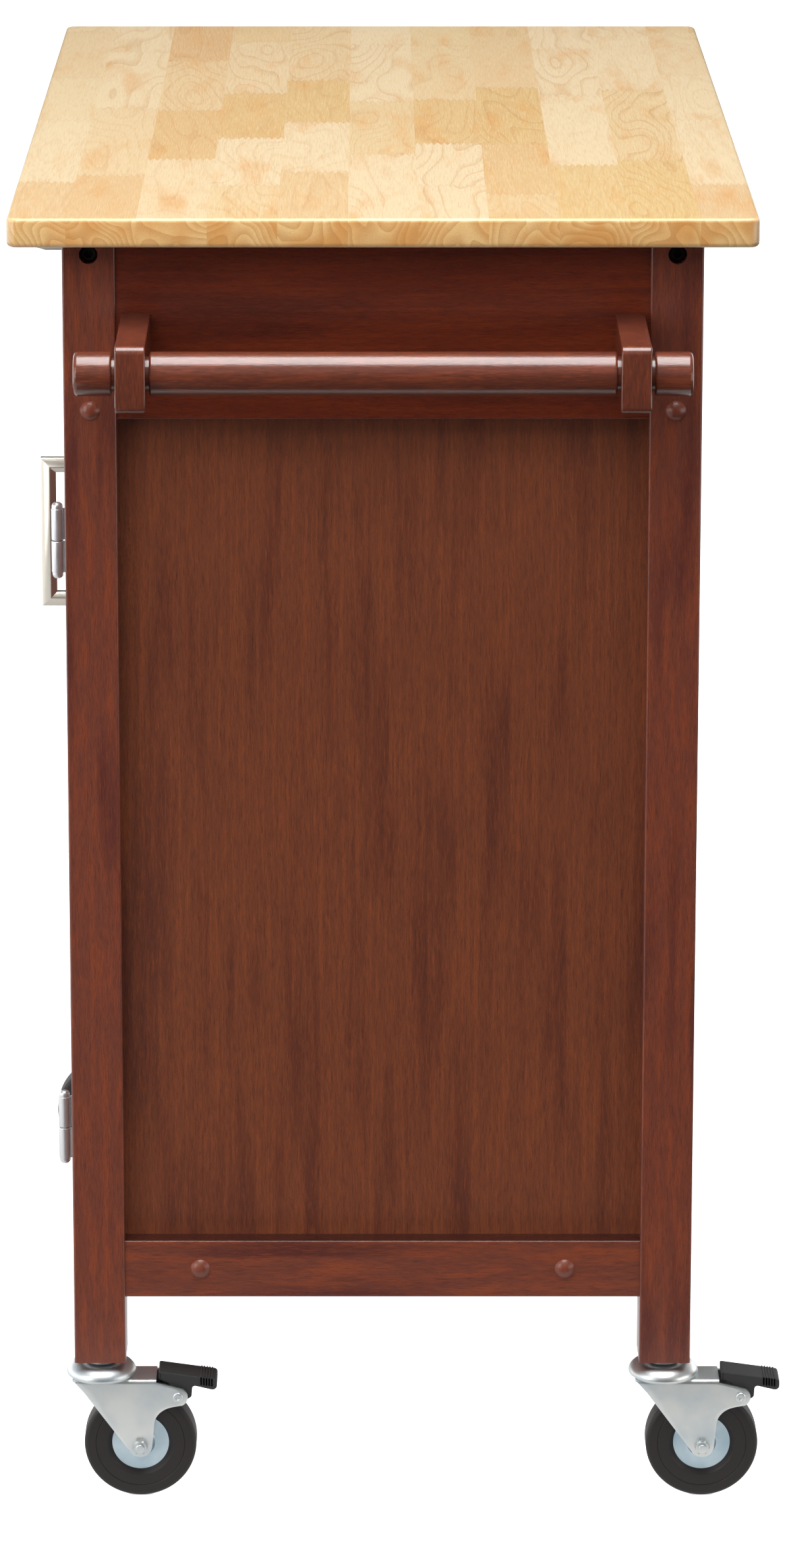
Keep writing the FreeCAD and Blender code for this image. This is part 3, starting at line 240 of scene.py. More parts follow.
class HingeSettings(bpy.types.PropertyGroup):
    barrel: length("Barrel radius", 4, "Radius of the knuckles")
    seam: length("Seam", 0.4, "Gap between the knuckles")
    edge: length("Knuckle rounding", 0.7, "Rounding of a knuckle's ends")
    finial: length("Finial radius", 3.6, "Radius of the domed ends")
    finial_height: length("Finial height", 4.2, "Height of the domed ends")
    dome: length("Finial rounding", 2.808, "Rounding of the domed ends")
    leaf: length("Leaf thickness", 1.5, "Thickness of a leaf")
    leaf_gap: length("Leaf gap", 0.39, "Gap between two leaves")
    leaf_corner: length("Leaf corner", 2, "Radius of a leaf's corners")
    leaf_edge: length("Leaf edge", 0.2, "Rounding of a leaf's edges, twice that of its neck")
    height: length("Height", 51, "Height of a hinge, from tip to tip")


class CasterSettings(bpy.types.PropertyGroup):
    sheet: length("Sheet", 2, "Thickness of the pressed fork")
    sheet_edge: length("Sheet edge", 0.35, "Rounding of the pressed fork's edges")
    outside: length("Fork half width", 13.5, "From the middle to a side plate's outer face")
    bend: length("Bend radius", 2.6, "Outer radius where the crown turns into the plates")
    crown: length("Crown level", 84.3, "Top of the crown")
    front: length("Fork front", 19, "From the stem to the front of the crown")
    shoulder_y: length("Shoulder place", -11, "Where the plate's front edge turns down")
    shoulder_z: length("Shoulder level", 75, "Level of that turn")
    boss: length("Boss radius", 8, "Radius of the plate round the axle")
    plain_back: length("Plain back", 26, "Back of the crown without a brake")
    braked_back: length("Braked back", 37, "Back of the crown with a brake")
    arm: length("Arm radius", 6.5, "Radius of the plate round the brake rivet")
    waist: length("Waist", 35.5, "Back of the plate above the boss")
    waist_drop: length("Waist drop", 30, "From the crown down to the waist without a brake")
    notch_height: length("Notch height", 13, "Height of the curve from the waist to the arm")
    cup: length("Cup radius", 23.2, "Radius of the raceway cup")
    cup_top: length("Cup top", 93.2, "Top of the raceway cup")
    cup_play: length("Cup play", 0.1, "Gap between stem and cup")
    rim: length("Cup rim", 1.5, "Height of the cup's rim above the crown")
    collar: length("Collar radius", 11, "Radius of the collar under the post")
    collar_height: length("Collar height", 4.3, "Height of the collar")
    stem: length("Stem radius", 5.5, "Radius of the stem in the post")
    head: length("Stem head", 8, "Radius of the stem's head under the crown")
    head_gap: length("Head gap", 0.3, "Gap between that head and the crown")
    axle_nut: length("Nut radius", 5.1, "Radius of the axle nut over its corners")
    axle_nut_height: length("Nut height", 4, "Height of the axle nut")
    nut_edge: length("Nut chamfer", 0.7, "Chamfer of the axle nut")
    axle: length("Axle radius", 3, "Radius of the axle bolt")
    axle_play: length("Axle play", 0.06, "Gap between axle and hub")
    bolt_edge: length("Bolt rounding", 0.5, "Rounding of the axle bolt's plain end")
    axle_end: length("Axle end", 2.5, "How far the bolt stands out of the nut")
    rivet: length("Rivet radius", 3.5, "Radius of the rivet head")
    rivet_height: length("Rivet height", 1.4, "Height of the rivet head")
    dimple: length("Rivet dimple", 0.8, "Depth of the dimple in the rivet head")
    pin: length("Rivet pin", 2, "Radius of the rivet between the plates")
    hub: length("Hub radius", 19, "Radius of the hub disc")
    hub_face: length("Hub face", 6.5, "From the middle to the hub's disc")
    hub_boss: length("Hub boss", 7, "Radius of the hub's boss")
    hub_slope: length("Hub slope", 3, "Width of the slope from the boss to the disc")
    shoulder: length("Tyre shoulder", 3.2, "Rounding of the tread's edges")
    lip: length("Tyre lip", 3, "Width of the sloping lip inside the sidewall")
    ring: length("Sidewall ring", 29.2, "Radius of the fine ring on the sidewall")
    ring_width: length("Ring width", 0.9, "Width of that ring")
    ring_depth: length("Ring depth", 0.35, "Depth of that ring")


class PedalSettings(bpy.types.PropertyGroup):
    half_width: length("Half width", 10, "Half the pedal's width between the ribs")
    inner: length("Inner end", 38.5, "From the stem to the pedal's inner end")
    outer: length("Outer end", 77.5, "From the stem to the pedal's tip")
    top: length("Top", 89, "Level of the pedal's inner end")
    drop: length("Drop", 5.5, "How far the top falls to the tip")
    thick: length("Thickness", 9, "Depth of the pedal's sides")
    skirt: length("Skirt", 5.2, "Depth of the tip")
    edge: length("Edge rounding", 1, "Rounding of the pedal's edges")
    tip: length("Tip rounding", 3, "Rounding of the tip seen from the side")
    ribs: count("Ribs", 5, "Grip ribs across the tip")
    rib_pitch: length("Rib pitch", 1.8, "Distance between the ribs")
    rib: length("Rib", 0.38, "Half a rib's width, and how far it stands out")
    rib_start: length("Rib start", 3.4, "From the tip to the first rib")
    rib_drop: length("Rib drop", 6, "How far the ribs run down the sides")
    plastic: colour("Plastic", "#262626", "Black moulded plastic")
    rubber: colour("Rubber", "#150e0c", "Black tyre rubber")


class StageSettings(bpy.types.PropertyGroup):
    camera: place("Camera", (3948, -9.2, 1580.7), "Where the camera stands")
    pitch: angle("Pitch", 12.8, "How far the camera looks down")
    lens: number("Lens", 132.5, "Focal length for a 36 mm long side", "CAMERA")
    shift_x: number("Shift across", 0.0172, "Frame moved to the right, in long sides")
    shift_y: number("Shift up", -0.25, "Frame moved up, in long sides")
    world: number("World", 0.3, "Strength of the white surroundings above the floor")
    world_low: number("World below", 0.05, "Strength of the dim surroundings below it")
    bounce: number("Bounce", 0.88, "Brightness of the floor near the cart in reflections")
    bounce_size: length("Bounce size", 1150, "Side of the floor that lights the cart")
    mirror_size: length("Mirrored floor size", 2400, "Side of the floor that hinges and pulls mirror")
    mirror_place: place("Mirrored floor place", (300, -1550, 1), "Middle of that floor")
    overhead: number("Overhead", 102.0, "Power of the softbox over the towel bar end", "POWER")
    overhead_place: place("Overhead place", (650, 0, 3000), "Middle of that softbox")
    overhead_x: length("Overhead depth", 2000, "Size of that softbox along X")
    overhead_y: length("Overhead width", 1800, "Size of that softbox along Y")
    fill: number("Fill", 48.0, "Power of the softbox beside the camera", "POWER")
    fill_place: place("Fill place", (2550, -500, 2600), "Middle of that softbox")
    side: number("Side light", 28.0, "Power of the softbox on the front's side", "POWER")
    side_place: place("Side light place", (1800, -1900, 1300), "Middle of that softbox")
    side_width: length("Side light width", 1100, "Width of that softbox")
    card: number("Cards", 16.0, "Power of each white card round the cart", "POWER")
    card_x: length("Card place", 1200, "X of the card at the back")
    card_y: length("Card distance", 2300, "From the middle plane to the front and back cards")
    card_level: length("Card level", 600, "Middle level of the cards")
    far_x: length("Far card place", -1800, "X of the two cards behind the cart")
    far_y: length("Far card distance", 1700, "From the middle plane to these cards")
    card_width: length("Card width", 2000, "Width of cards and fill, and height of both end softboxes")
    card_height: length("Card height", 1200, "Height of the cards, too low to show in the worktop")
    aim_level: length("Aim level", 1000, "Level that the end softboxes face")
    floor: colour("Floor", "#f4f4f4", "Pale floor")
    floor_glow: number("Floor glow", 0.6, "Light that the backlit floor gives off under the cart")
    floor_far_glow: number("Far floor glow", 1.0, "Light that it gives off away from the cart")
    glow_start: length("Glow start", 500, "Distance from the middle where the glow starts to grow")
    glow_end: length("Glow end", 1600, "Distance where it is full")
    floor_size: length("Floor size", 32000, "Side of the floor")
    backdrop_size: length("Backdrop size", 80000, "Side of the white sheet behind everything")
    backdrop_height: length("Backdrop height", 12000, "How high its edges rise")


# Shapes: each is an array of points and a list of faces

def unit(vectors):
    return vectors / np.linalg.norm(vectors, axis=-1, keepdims=True)


def rounded(corners, radius=0, closed=True, steps=ARC_STEPS):
    """Points of a polygon with round corners, and for each the offset of a unit outset.

    A corner that is given as three numbers has a radius of its own.
    At a corner whose half angle is h, the arc's centre lies radius / sin(h) along the
    bisector, and its directions turn evenly from one side's normal to the other's. A
    corner without a radius keeps its point and the mitre vector, 1 / sin(h) long.
    """
    corners = np.asarray(corners, float)
    radii = corners[:, 2] if corners.shape[1] == 3 else np.full(len(corners), radius)
    corners = corners[:, :2]
    before = unit(np.roll(corners, 1, axis=0) - corners)
    after = unit(np.roll(corners, -1, axis=0) - corners)
    points, outsets = [], []
    for index, (corner, radius) in enumerate(zip(corners, radii)):
        if not closed and index in (0, len(corners) - 1):
            travel = after[index] if index == 0 else -before[index]
            points.append(corner[None])
            outsets.append(np.array([[travel[1], -travel[0]]]))
            continue
        inward = unit(before[index] + after[index])
        half = math.acos(np.clip(before[index] @ inward, -1, 1))
        bulge = np.sign(after[index][0] * before[index][1] - after[index][1] * before[index][0])
        if radius == 0:
            points.append(corner[None])
            outsets.append(-bulge * inward[None] / math.sin(half))
            continue
        first = before[index] / math.tan(half) - inward / math.sin(half)
        last = after[index] / math.tan(half) - inward / math.sin(half)
        turn = math.pi - 2 * half
        part = np.linspace(0, 1, steps)[:, None]
        arc = (np.sin((1 - part) * turn) * first + np.sin(part * turn) * last) / math.sin(turn)
        points.append(corner + inward * radius / math.sin(half) + radius * arc)
        outsets.append(bulge * arc)
    return np.concatenate(points), np.concatenate(outsets)


def grid(points, closed_rows=False, closed_columns=False, caps=False):
    """Quads between neighbours of a rows x columns x 3 array, and its end rows as caps."""
    rows, columns = points.shape[:2]
    index = np.arange(rows * columns).reshape(rows, columns)
    first, last = index[0].tolist(), index[-1].tolist()
    if closed_rows:
        index = np.vstack([index, index[:1]])
    if closed_columns:
        index = np.hstack([index, index[:, :1]])
    quads = np.stack([index[:-1, :-1], index[1:, :-1], index[1:, 1:], index[:-1, 1:]], axis=-1)
    faces = quads.reshape(-1, 4).tolist()
    return points.reshape(-1, 3), faces + ([first, last] if caps else [])


def carried(outline, outsets, section, axis):
    """Points of a section carried along an outline: (outset, along) for each row."""
    rows = outline[None] + outsets[None] * section[:, :1, None]
    along = np.broadcast_to(section[:, 1, None, None], rows.shape[:2] + (1,))
    return np.concatenate([rows, along], axis=2)[..., AXIS_ORDER[axis]]


def rectangle(left, right, bottom, top):
    return [(left, bottom), (right, bottom), (right, top), (left, top)]


def mirrored(half):
    """A profile from end to end, out of the half that starts at its middle."""
    half = np.array(half, float)
    return np.concatenate([half[::-1] * (-1, 1, 1), half])


def slab(outline, low, high, rounding, axis):
    """A plate between two levels of an axis, its edges rounded, its faces flat."""
    low_round, high_round = np.broadcast_to(rounding, 2)
    inner = max(low_round, high_round) + SUPPORT
    section, _ = rounded([(-inner, low, 0), (0, low, low_round), (0, high, high_round),
                          (-inner, high, 0)], closed=False)
    return grid(carried(*outline, section, axis), closed_columns=True, caps=True)


def revolve(profile, axis, centre, sides=SMALL_SIDES, closed=False, hexagonal=None):
    """A profile of (along, radius) turned about an axis through a centre.

    Where hexagonal is 1 the ring is a hexagon instead of a circle: its radius times
    cos(30 degrees) / cos(angle from the nearest flat's middle).
    """
    turn = np.linspace(0, 2 * math.pi, sides, endpoint=False)
    flat = math.pi / 3
    hexagon = math.cos(flat / 2) / np.cos(np.mod(turn, flat) - flat / 2)
    share = np.zeros(len(profile)) if hexagonal is None else np.asarray(hexagonal, float)
    radius = profile[:, 1:] * (1 + share[:, None] * (hexagon[None] - 1))
    along = np.broadcast_to(profile[:, :1], radius.shape)
    points = np.stack([radius * np.cos(turn), radius * np.sin(turn), along], axis=-1)
    shape = grid(points[..., AXIS_ORDER[axis]], closed_rows=closed, closed_columns=True)
    return moved(shape, centre)


def turned(corners, axis, centre, sides=SMALL_SIDES, closed=False):
    """A profile with round corners, turned about an axis."""
    return revolve(rounded(corners, closed=closed)[0], axis, centre, sides, closed)


def smooth_profile(points, factor=3):
    """A closed profile through the same points with rounder steps between them.

    Each span is cut into equal parts of a Catmull-Rom curve: the cubic whose slope at a
    point is half the step between its neighbours.
    """
    before, after, later = (np.roll(points, shift, axis=0) for shift in (1, -1, -2))
    part = np.linspace(0, 1, factor, endpoint=False)[None, :, None]
    start, end = points[:, None], after[:, None]
    leave, arrive = (end - before[:, None]) / 2, (later[:, None] - start) / 2
    curve = ((2 * part ** 3 - 3 * part ** 2 + 1) * start + (part ** 3 - 2 * part ** 2 + part) * leave
             + (3 * part ** 2 - 2 * part ** 3) * end + (part ** 3 - part ** 2) * arrive)
    return curve.reshape(-1, 2)


def moved(shape, offset):
    points, faces = shape
    return points + np.asarray(offset), faces


def joined(shapes):
    """Several shapes as one."""
    points, faces, start = [], [], 0
    for shape_points, shape_faces in shapes:
        points.append(shape_points)
        faces += [[index + start for index in face] for face in shape_faces]
        start += len(shape_points)
    return np.concatenate(points), faces


def paired(shape, axis):
    """A shape with its mirror image across the middle plane of an axis."""
    points, faces = shape
    sign = [-1 if letter == axis else 1 for letter in "XYZ"]
    return joined([shape, (points * sign, faces)])


def make_piece(name, shape, material, body, replaces=()):
    """A welded, smooth mesh that rides on a CAD body and stands for CAD nodes."""
    points, faces = shape
    mesh = bpy.data.meshes.new(name)
    mesh.from_pydata(points.tolist(), [], faces)
    work = bmesh.new()
    work.from_mesh(mesh)
    bmesh.ops.remove_doubles(work, verts=work.verts, dist=WELD_DISTANCE)
    bmesh.ops.recalc_face_normals(work, faces=work.faces)
    work.to_mesh(mesh)
    work.free()
    mesh.shade_smooth()
    mesh.set_sharp_from_angle(angle=SHARP_ANGLE)
    mesh.materials.append(material)
    piece = bpy.data.objects.new(name, mesh)
    bpy.context.scene.collection.objects.link(piece)
    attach(piece, body)
    if replaces:
        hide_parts(*replaces)
    return piece


def finish_node(name, material):
    """Gives its material to a CAD node that stays as it is."""
    node = frame["nodes"][name]
    node.data.materials.clear()
    node.data.materials.append(material)


def middle(name):
    low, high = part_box(name)
    return np.array((low + high) / 2)


def joint(name):
    """Where a joint's axis passes."""
    return np.array(JOINTS[name]["pos_m"])


# Materials

def add_node(tree, kind, inputs=None, **settings):
    """Adds one node and returns its outputs. An input takes a value or another node's output."""
    node = tree.nodes.new(kind)
    for name, value in settings.items():
        setattr(node, name, value)
    for name, value in (inputs or {}).items():
        if isinstance(value, bpy.types.NodeSocket):
            tree.links.new(value, node.inputs[name])
        else:
            node.inputs[name].default_value = value
    return node.outputs


def new_material(name):
    """An empty material, its node tree, and the coordinates of the piece that wears it."""
    material = bpy.data.materials.new(name)
    material.use_nodes = True
    tree = material.node_tree
    tree.nodes.clear()
    return material, tree, add_node(tree, "ShaderNodeTexCoord")


def finish_material(tree, sheen=None, relief=None, **inputs):
    """Ends a tree in one shader with these inputs, spaces written as underscores.

    Sheen is a pattern with the roughness where it is low and where it is high. Relief is
    a pattern with the strength and the height of the bumps it makes.
    """
    if sheen:
        pattern, smooth, rough = sheen
        spread = {0: pattern, 1: NOISE_LOW, 2: NOISE_HIGH, 3: smooth, 4: rough}
        inputs["Roughness"] = add_node(tree, "ShaderNodeMapRange", spread)[0]
    if relief:
        pattern, strength, height = relief
        bumps = {"Strength": strength, "Distance": height, "Height": pattern}
        inputs["Normal"] = add_node(tree, "ShaderNodeBump", bumps)[0]
    named = {name.replace("_", " "): value for name, value in inputs.items()}
    shader = add_node(tree, "ShaderNodeBsdfPrincipled", named)
    add_node(tree, "ShaderNodeOutputMaterial", {"Surface": shader[0]})


def layered(tree, tone, layers):
    """A tone with colours mixed over it, each where a pattern rises from one value to another.

    A layer is the pattern, the value where it starts, where it is full, the most of the
    colour that it mixes in, and the colour.
    """
    for pattern, start, full, most, paint in layers:
        share = add_node(tree, "ShaderNodeMapRange", {0: pattern, 1: start, 2: full, 3: 0.0, 4: most})
        tone = add_node(tree, "ShaderNodeMix", {0: share[0], MIX_FIRST: tone, MIX_SECOND: paint},
                        data_type="RGBA")[MIX_RESULT]
    return tone


def stretched_noise(tree, spot, grain, along, across, detail=2, roughness=0.5):
    """Noise stretched along the grain, its spots of the sizes given."""
    scales = tuple(1 / along if axis == grain else 1 / across for axis in "XYZ")
    at = add_node(tree, "ShaderNodeVectorMath", {0: spot, 1: scales}, operation="MULTIPLY")
    return add_node(tree, "ShaderNodeTexNoise", {"Vector": at[0], "Scale": 1, "Detail": detail,
                                                 "Roughness": roughness})[0]


def butcher_block():
    """Pale hardwood staves glued side by side, each of finger-jointed blocks.

    The eye sees blocks that differ in tone, zigzag joints, growth lines that wander along
    the faces and curve tightly on the sawn ends, and a satin lacquer.
    """
    top = bpy.context.scene.cart_worktop
    material, tree, at = new_material("butcher_block_lacquered")
    spot = at["Object"]
    block = stave_blocks(tree, spot, top)
    fibres = fibre_lines(tree, spot, block)
    # How far the surface looks along X, to a sawn end
    sideways = add_node(tree, "ShaderNodeSeparateXYZ", {0: at["Normal"]})[0]
    sawn = add_node(tree, "ShaderNodeMath", {0: sideways}, operation="ABSOLUTE")[0]
    tone = layered(tree, face_grain(tree, fibres, block, top),
                   [(sawn, 0.6, 0.9, 1.0, end_grain(tree, spot, block, top))])
    finish_material(tree, relief=(fibres, 0.06, 0.1 * MM), Base_Color=tone, Roughness=0.34,
                    Coat_Weight=0.4, Coat_Roughness=0.12)
    return material


def stave_blocks(tree, spot, top):
    """Where a point lies in its block: place along and across, border, three random values.

    A stave is the whole part of y / width. Blocks are the cells of a 1-D Voronoi pattern
    along x, shifted by a triangle wave across the stave that makes the fingers. The jump
    moves a pattern to another place for each block, so that no two look alike.
    """
    x, y, _ = add_node(tree, "ShaderNodeSeparateXYZ", {0: spot})
    across = add_node(tree, "ShaderNodeMath", {0: y, 1: 1 / top.stave, 2: 0.5},
                      operation="MULTIPLY_ADD")[0]
    stave = add_node(tree, "ShaderNodeMath", {0: across}, operation="FLOOR")[0]
    inside = add_node(tree, "ShaderNodeMath", {0: across}, operation="FRACT")[0]
    start = add_node(tree, "ShaderNodeMath", {0: stave, 1: STAVE_JUMP}, operation="MULTIPLY")[0]
    half = top.finger_pitch / 2
    wave = add_node(tree, "ShaderNodeMath", {0: y, 1: half}, operation="PINGPONG")[0]
    fingers = add_node(tree, "ShaderNodeMath", {0: wave, 1: top.finger_length / half, 2: x},
                       operation="MULTIPLY_ADD")[0]
    at, straight = (add_node(tree, "ShaderNodeMath", {0: along, 1: 1 / top.block, 2: start},
                             operation="MULTIPLY_ADD")[0] for along in (fingers, x))
    pattern = {"W": at, "Scale": 1, "Randomness": 0.8}
    cell = add_node(tree, "ShaderNodeTexVoronoi", pattern, voronoi_dimensions="1D")
    border = add_node(tree, "ShaderNodeTexVoronoi", pattern, voronoi_dimensions="1D",
                      feature="DISTANCE_TO_EDGE")["Distance"]
    along = add_node(tree, "ShaderNodeMath", {0: straight, 1: cell["W"]}, operation="SUBTRACT")[0]
    random = add_node(tree, "ShaderNodeSeparateColor", {0: cell["Color"]})
    jump = add_node(tree, "ShaderNodeCombineXYZ", {0: random[1], 1: random[2], 2: random[0]})[0]
    return {"along": along, "across": inside, "border": border, "random": random, "jump": jump}


def fibre_lines(tree, spot, block):
    """Noise stretched along X that starts anew in each block."""
    top = bpy.context.scene.cart_worktop
    start = add_node(tree, "ShaderNodeVectorMath", {0: block["jump"], 1: FIBRE_JUMP, 2: spot},
                     operation="MULTIPLY_ADD")[0]
    scales = (1 / top.fibre_length, 1 / top.fibre_width, 1 / top.fibre_height)
    at = add_node(tree, "ShaderNodeVectorMath", {0: start, 1: scales}, operation="MULTIPLY")[0]
    return add_node(tree, "ShaderNodeTexNoise",
                    {"Vector": at, "Scale": 1, "Detail": 3, "Roughness": 0.65})[0]


def growth_lines(tree, block, along, size, top, lines):
    """Growth lines as level lines of a smooth random hill: 0 behind a line, 1 on it.

    The hill is a noise over the place in the block, counted in sizes along and across,
    and leans to one side by a random share. Its lines lie close together on steep slopes
    and wander where it is flat. The place is returned too, for clouds that follow them.
    """
    down = add_node(tree, "ShaderNodeMath", {0: along, 1: 1 / size[0]}, operation="MULTIPLY")[0]
    over = add_node(tree, "ShaderNodeMath", {0: block["across"], 1: top.stave / size[1]},
                    operation="MULTIPLY")[0]
    local = add_node(tree, "ShaderNodeCombineXYZ", {0: down, 1: over})[0]
    at = add_node(tree, "ShaderNodeVectorMath", {0: block["jump"], 1: HILL_JUMP, 2: local},
                  operation="MULTIPLY_ADD")[0]
    hill = add_node(tree, "ShaderNodeTexNoise", {"Vector": at, "Scale": 1, "Detail": 0.6})[0]
    lean = add_node(tree, "ShaderNodeMapRange", {0: block["random"][1], 3: -0.5, 4: 0.5})[0]
    tilted = add_node(tree, "ShaderNodeMath", {0: block["across"], 1: lean, 2: hill},
                      operation="MULTIPLY_ADD")[0]
    level = add_node(tree, "ShaderNodeMath", {0: tilted, 1: lines}, operation="MULTIPLY")[0]
    return add_node(tree, "ShaderNodeMath", {0: level}, operation="FRACT")[0], at


def face_grain(tree, fibres, block, top):
    """Colour of the faces: the block's own tone, amber heartwood clouds, growth lines, glue."""
    random = block["random"]
    along, gap = (add_node(tree, "ShaderNodeMath", {0: block[name], 1: top.block},
                           operation="MULTIPLY")[0] for name in ("along", "border"))
    arches = (top.arch_length, top.arch_width)
    lines, at = growth_lines(tree, block, along, arches, top, top.face_lines)
    cloud = add_node(tree, "ShaderNodeTexNoise",
                     {"Vector": at, "Scale": 1.7, "Detail": 3, "Roughness": 0.6})[0]
    clear = add_node(tree, "ShaderNodeMapRange", {0: random[2], 3: 0.05, 4: 0.5})[0]
    hue = layered(tree, top.golden, [(random[1], 0.0, 1.0, 1.0, top.warm)])
    return layered(tree, top.pale, [
        (random[0], 0.25, 0.95, 0.8, hue),
        (cloud, 0.52, 0.74, 0.6, top.amber),
        (lines, 0.7, 1.0, clear, top.grain),
        (fibres, 0.5, 0.72, 0.42, top.grain),
        (fibres, 0.48, 0.28, 0.5, top.light),
        (gap, 1.4 * MM, 0.3 * MM, 0.22, top.joint)])


def end_grain(tree, spot, block, top):
    """Colour of the sawn ends: wide curved rings, broken by fine pores."""
    _, _, z = add_node(tree, "ShaderNodeSeparateXYZ", {0: spot})
    rings, at = growth_lines(tree, block, z, (top.ring_size,) * 2, top, top.end_lines)
    pores = add_node(tree, "ShaderNodeTexNoise",
                     {"Vector": spot, "Scale": 1 / top.end_pore, "Detail": 2})
    late = add_node(tree, "ShaderNodeMapRange", {0: rings, 1: 0.2, 2: 1.0, 4: 0.45})
    dots = add_node(tree, "ShaderNodeMapRange", {0: pores[0], 1: 0.48, 2: 0.7, 4: 0.35})
    dark = add_node(tree, "ShaderNodeMath", {0: late[0], 1: dots[0]}, operation="ADD", use_clamp=True)
    cloud = add_node(tree, "ShaderNodeTexNoise", {"Vector": at, "Scale": 1.3, "Detail": 2})
    return layered(tree, top.end_pale, [(cloud[0], 0.38, 0.62, 1.0, top.end_warm),
                                        (dark[0], 0.0, 1.0, 1.0, top.end_dark)])


def tones(stain, kind=""):
    """Middle, dark and red tone of one kind of stained board."""
    return [getattr(stain, kind + tone) for tone in ("mid", "dark", "red")]


def stained_wood(name, grain, shades, satin, coat, figure=1.0, shaded_ledge=0.0, patch=None):
    """Hardwood with a dark red-brown stain: cloudy tone, red patches and fine dark pores.

    The eye sees dark clouds and red patches along the grain, short dark and light dashes
    close up, and a varnish whose highlights the pores break up. Shades are the middle, the
    dark and the red tone, satin is the roughness, and figure the strength of clouds and
    patches. A ledge share paints shade in the pores' colour on what faces up: the top of a
    rail under a panel, which little light reaches. Patch is a red patch's length and width
    where it isn't the boards' own.
    """
    stain = bpy.context.scene.cart_stain
    mid, dark, red = shades
    patch = patch or (stain.patch_length, stain.patch)
    material, tree, at = new_material(name)
    spot = at["Object"]
    cloud = stretched_noise(tree, spot, grain, stain.cloud_length, stain.cloud)
    reds = stretched_noise(tree, spot, grain, *patch, detail=3, roughness=0.6)
    dash = stretched_noise(tree, spot, grain, stain.dash_length, stain.dash)
    pore = stretched_noise(tree, spot, grain, stain.pore_length, stain.pore_width)
    tone = layered(tree, mid, [
        (reds, 0.46, 0.66, 0.7 * figure, red),
        (cloud, 0.5, 0.7, 0.8 * figure, dark),
        (dash, 0.48, 0.28, 0.45, dark),
        (dash, 0.54, 0.74, 0.5, red),
        (pore, 0.55, 0.78, 0.55, stain.pore)])
    # Painted shade: what faces up is darkened towards the pores' colour, standing in for the little
    # light that reaches the rail top under the panel
    if shaded_ledge:
        facing_up = add_node(tree, "ShaderNodeSeparateXYZ", {0: at["Normal"]})[2]
        tone = layered(tree, tone, [(facing_up, 0.7, 0.95, shaded_ledge, stain.pore)])
    sheen = add_node(tree, "ShaderNodeMapRange",
                     {0: pore, 1: 0.3, 2: 0.8, 3: satin * 0.8, 4: satin * 1.2})[0]
    hollows = add_node(tree, "ShaderNodeMath", {0: dash, 1: pore}, operation="ADD")[0]
    bump = add_node(tree, "ShaderNodeBump", {"Strength": 0.1 / satin, "Distance": 0.12 * MM,
                                             "Height": hollows}, invert=True)[0]
    finish_material(tree, Base_Color=tone, Roughness=sheen, Coat_Weight=coat,
                    Coat_Roughness=satin * 0.6, Normal=bump)
    return material


def raw_wood(grain):
    """Pale unstained board: faint grain lines and a dry, matt surface."""
    stain = bpy.context.scene.cart_stain
    material, tree, at = new_material(f"raw_wood_{grain.lower()}")
    lines = stretched_noise(tree, at["Object"], grain, 90 * MM, 2 * MM, 4, 0.6)
    tone = layered(tree, stain.raw, [(lines, 0.4, 0.75, 0.8, stain.raw_dark)])
    finish_material(tree, Base_Color=tone, Roughness=0.6)
    return material


def brushed_nickel(grain):
    """Warm grey metal with fine brush lines along the bar, which soften its highlights.

    The lines are drawn wider than real ones, so that they show.
    """
    material, tree, at = new_material(f"brushed_nickel_{grain.lower()}")
    lines = stretched_noise(tree, at["Object"], grain, 12 * MM, 0.12 * MM)
    finish_material(tree, (lines, 0.28, 0.42), (lines, 0.06, 0.03 * MM), Metallic=1.0,
                    Base_Color=bpy.context.scene.cart_metal.nickel)
    return material


def spotted(name, tone, spot, sheen, relief=None, metallic=1.0, detail=2):
    """A plain finish whose sheen, and relief if it has one, vary in spots of one size.

    The spots also mix the tone where it is a pair: the plain colour and the patches.
    """
    material, tree, at = new_material(name)
    spots = add_node(tree, "ShaderNodeTexNoise",
                     {"Vector": at["Object"], "Scale": 1 / spot, "Detail": detail})[0]
    if len(tone) == 2:
        plain, patches = tone
        tone = layered(tree, plain, [(spots, 0.38, 0.68, 0.75, patches)])
    finish_material(tree, (spots, *sheen), relief and (spots, *relief), Base_Color=tone,
                    Metallic=metallic)
    return material


def nickel_plated_steel():
    """Pressed steel with dull nickel plating: a soft, slightly uneven sheen.

    It is a little less than fully metallic, because dull plating scatters some light.
    """
    return spotted("nickel_plated_steel", bpy.context.scene.cart_metal.steel, 3.85 * MM,
                   (0.36, 0.44), metallic=0.9)


def zinc_plating(name, plain, blue):
    """Zinc-plated sheet: a soft grey sheen with bluer patches from its passivation."""
    return spotted(name, (plain, blue), 26.3 * MM, (0.34, 0.46), detail=3)


def black_oxide():
    """Blackened steel: nearly black, with a dull oily sheen and fine uneven spots."""
    return spotted("black_oxide_steel", bpy.context.scene.cart_metal.black_oxide, 1.11 * MM,
                   (0.4, 0.6))


def moulded(name, tone, grit, sheen, height):
    """Black polymer whose moulded grain breaks up its reflections, drawn coarse enough to show."""
    return spotted(name, tone, grit, sheen, (0.15, height), metallic=0.0)


def once(name, make, *values, **more):
    """The material of that name, or a new one."""
    return bpy.data.materials.get(name) or make(*values, **more)


def board_wood(grain):
    """Satin stained wood of a flat board, for one grain direction."""
    stain = bpy.context.scene.cart_stain
    name = f"stained_wood_{grain.lower()}"
    return once(name, stained_wood, name, grain, tones(stain), satin=0.3, coat=0.15)


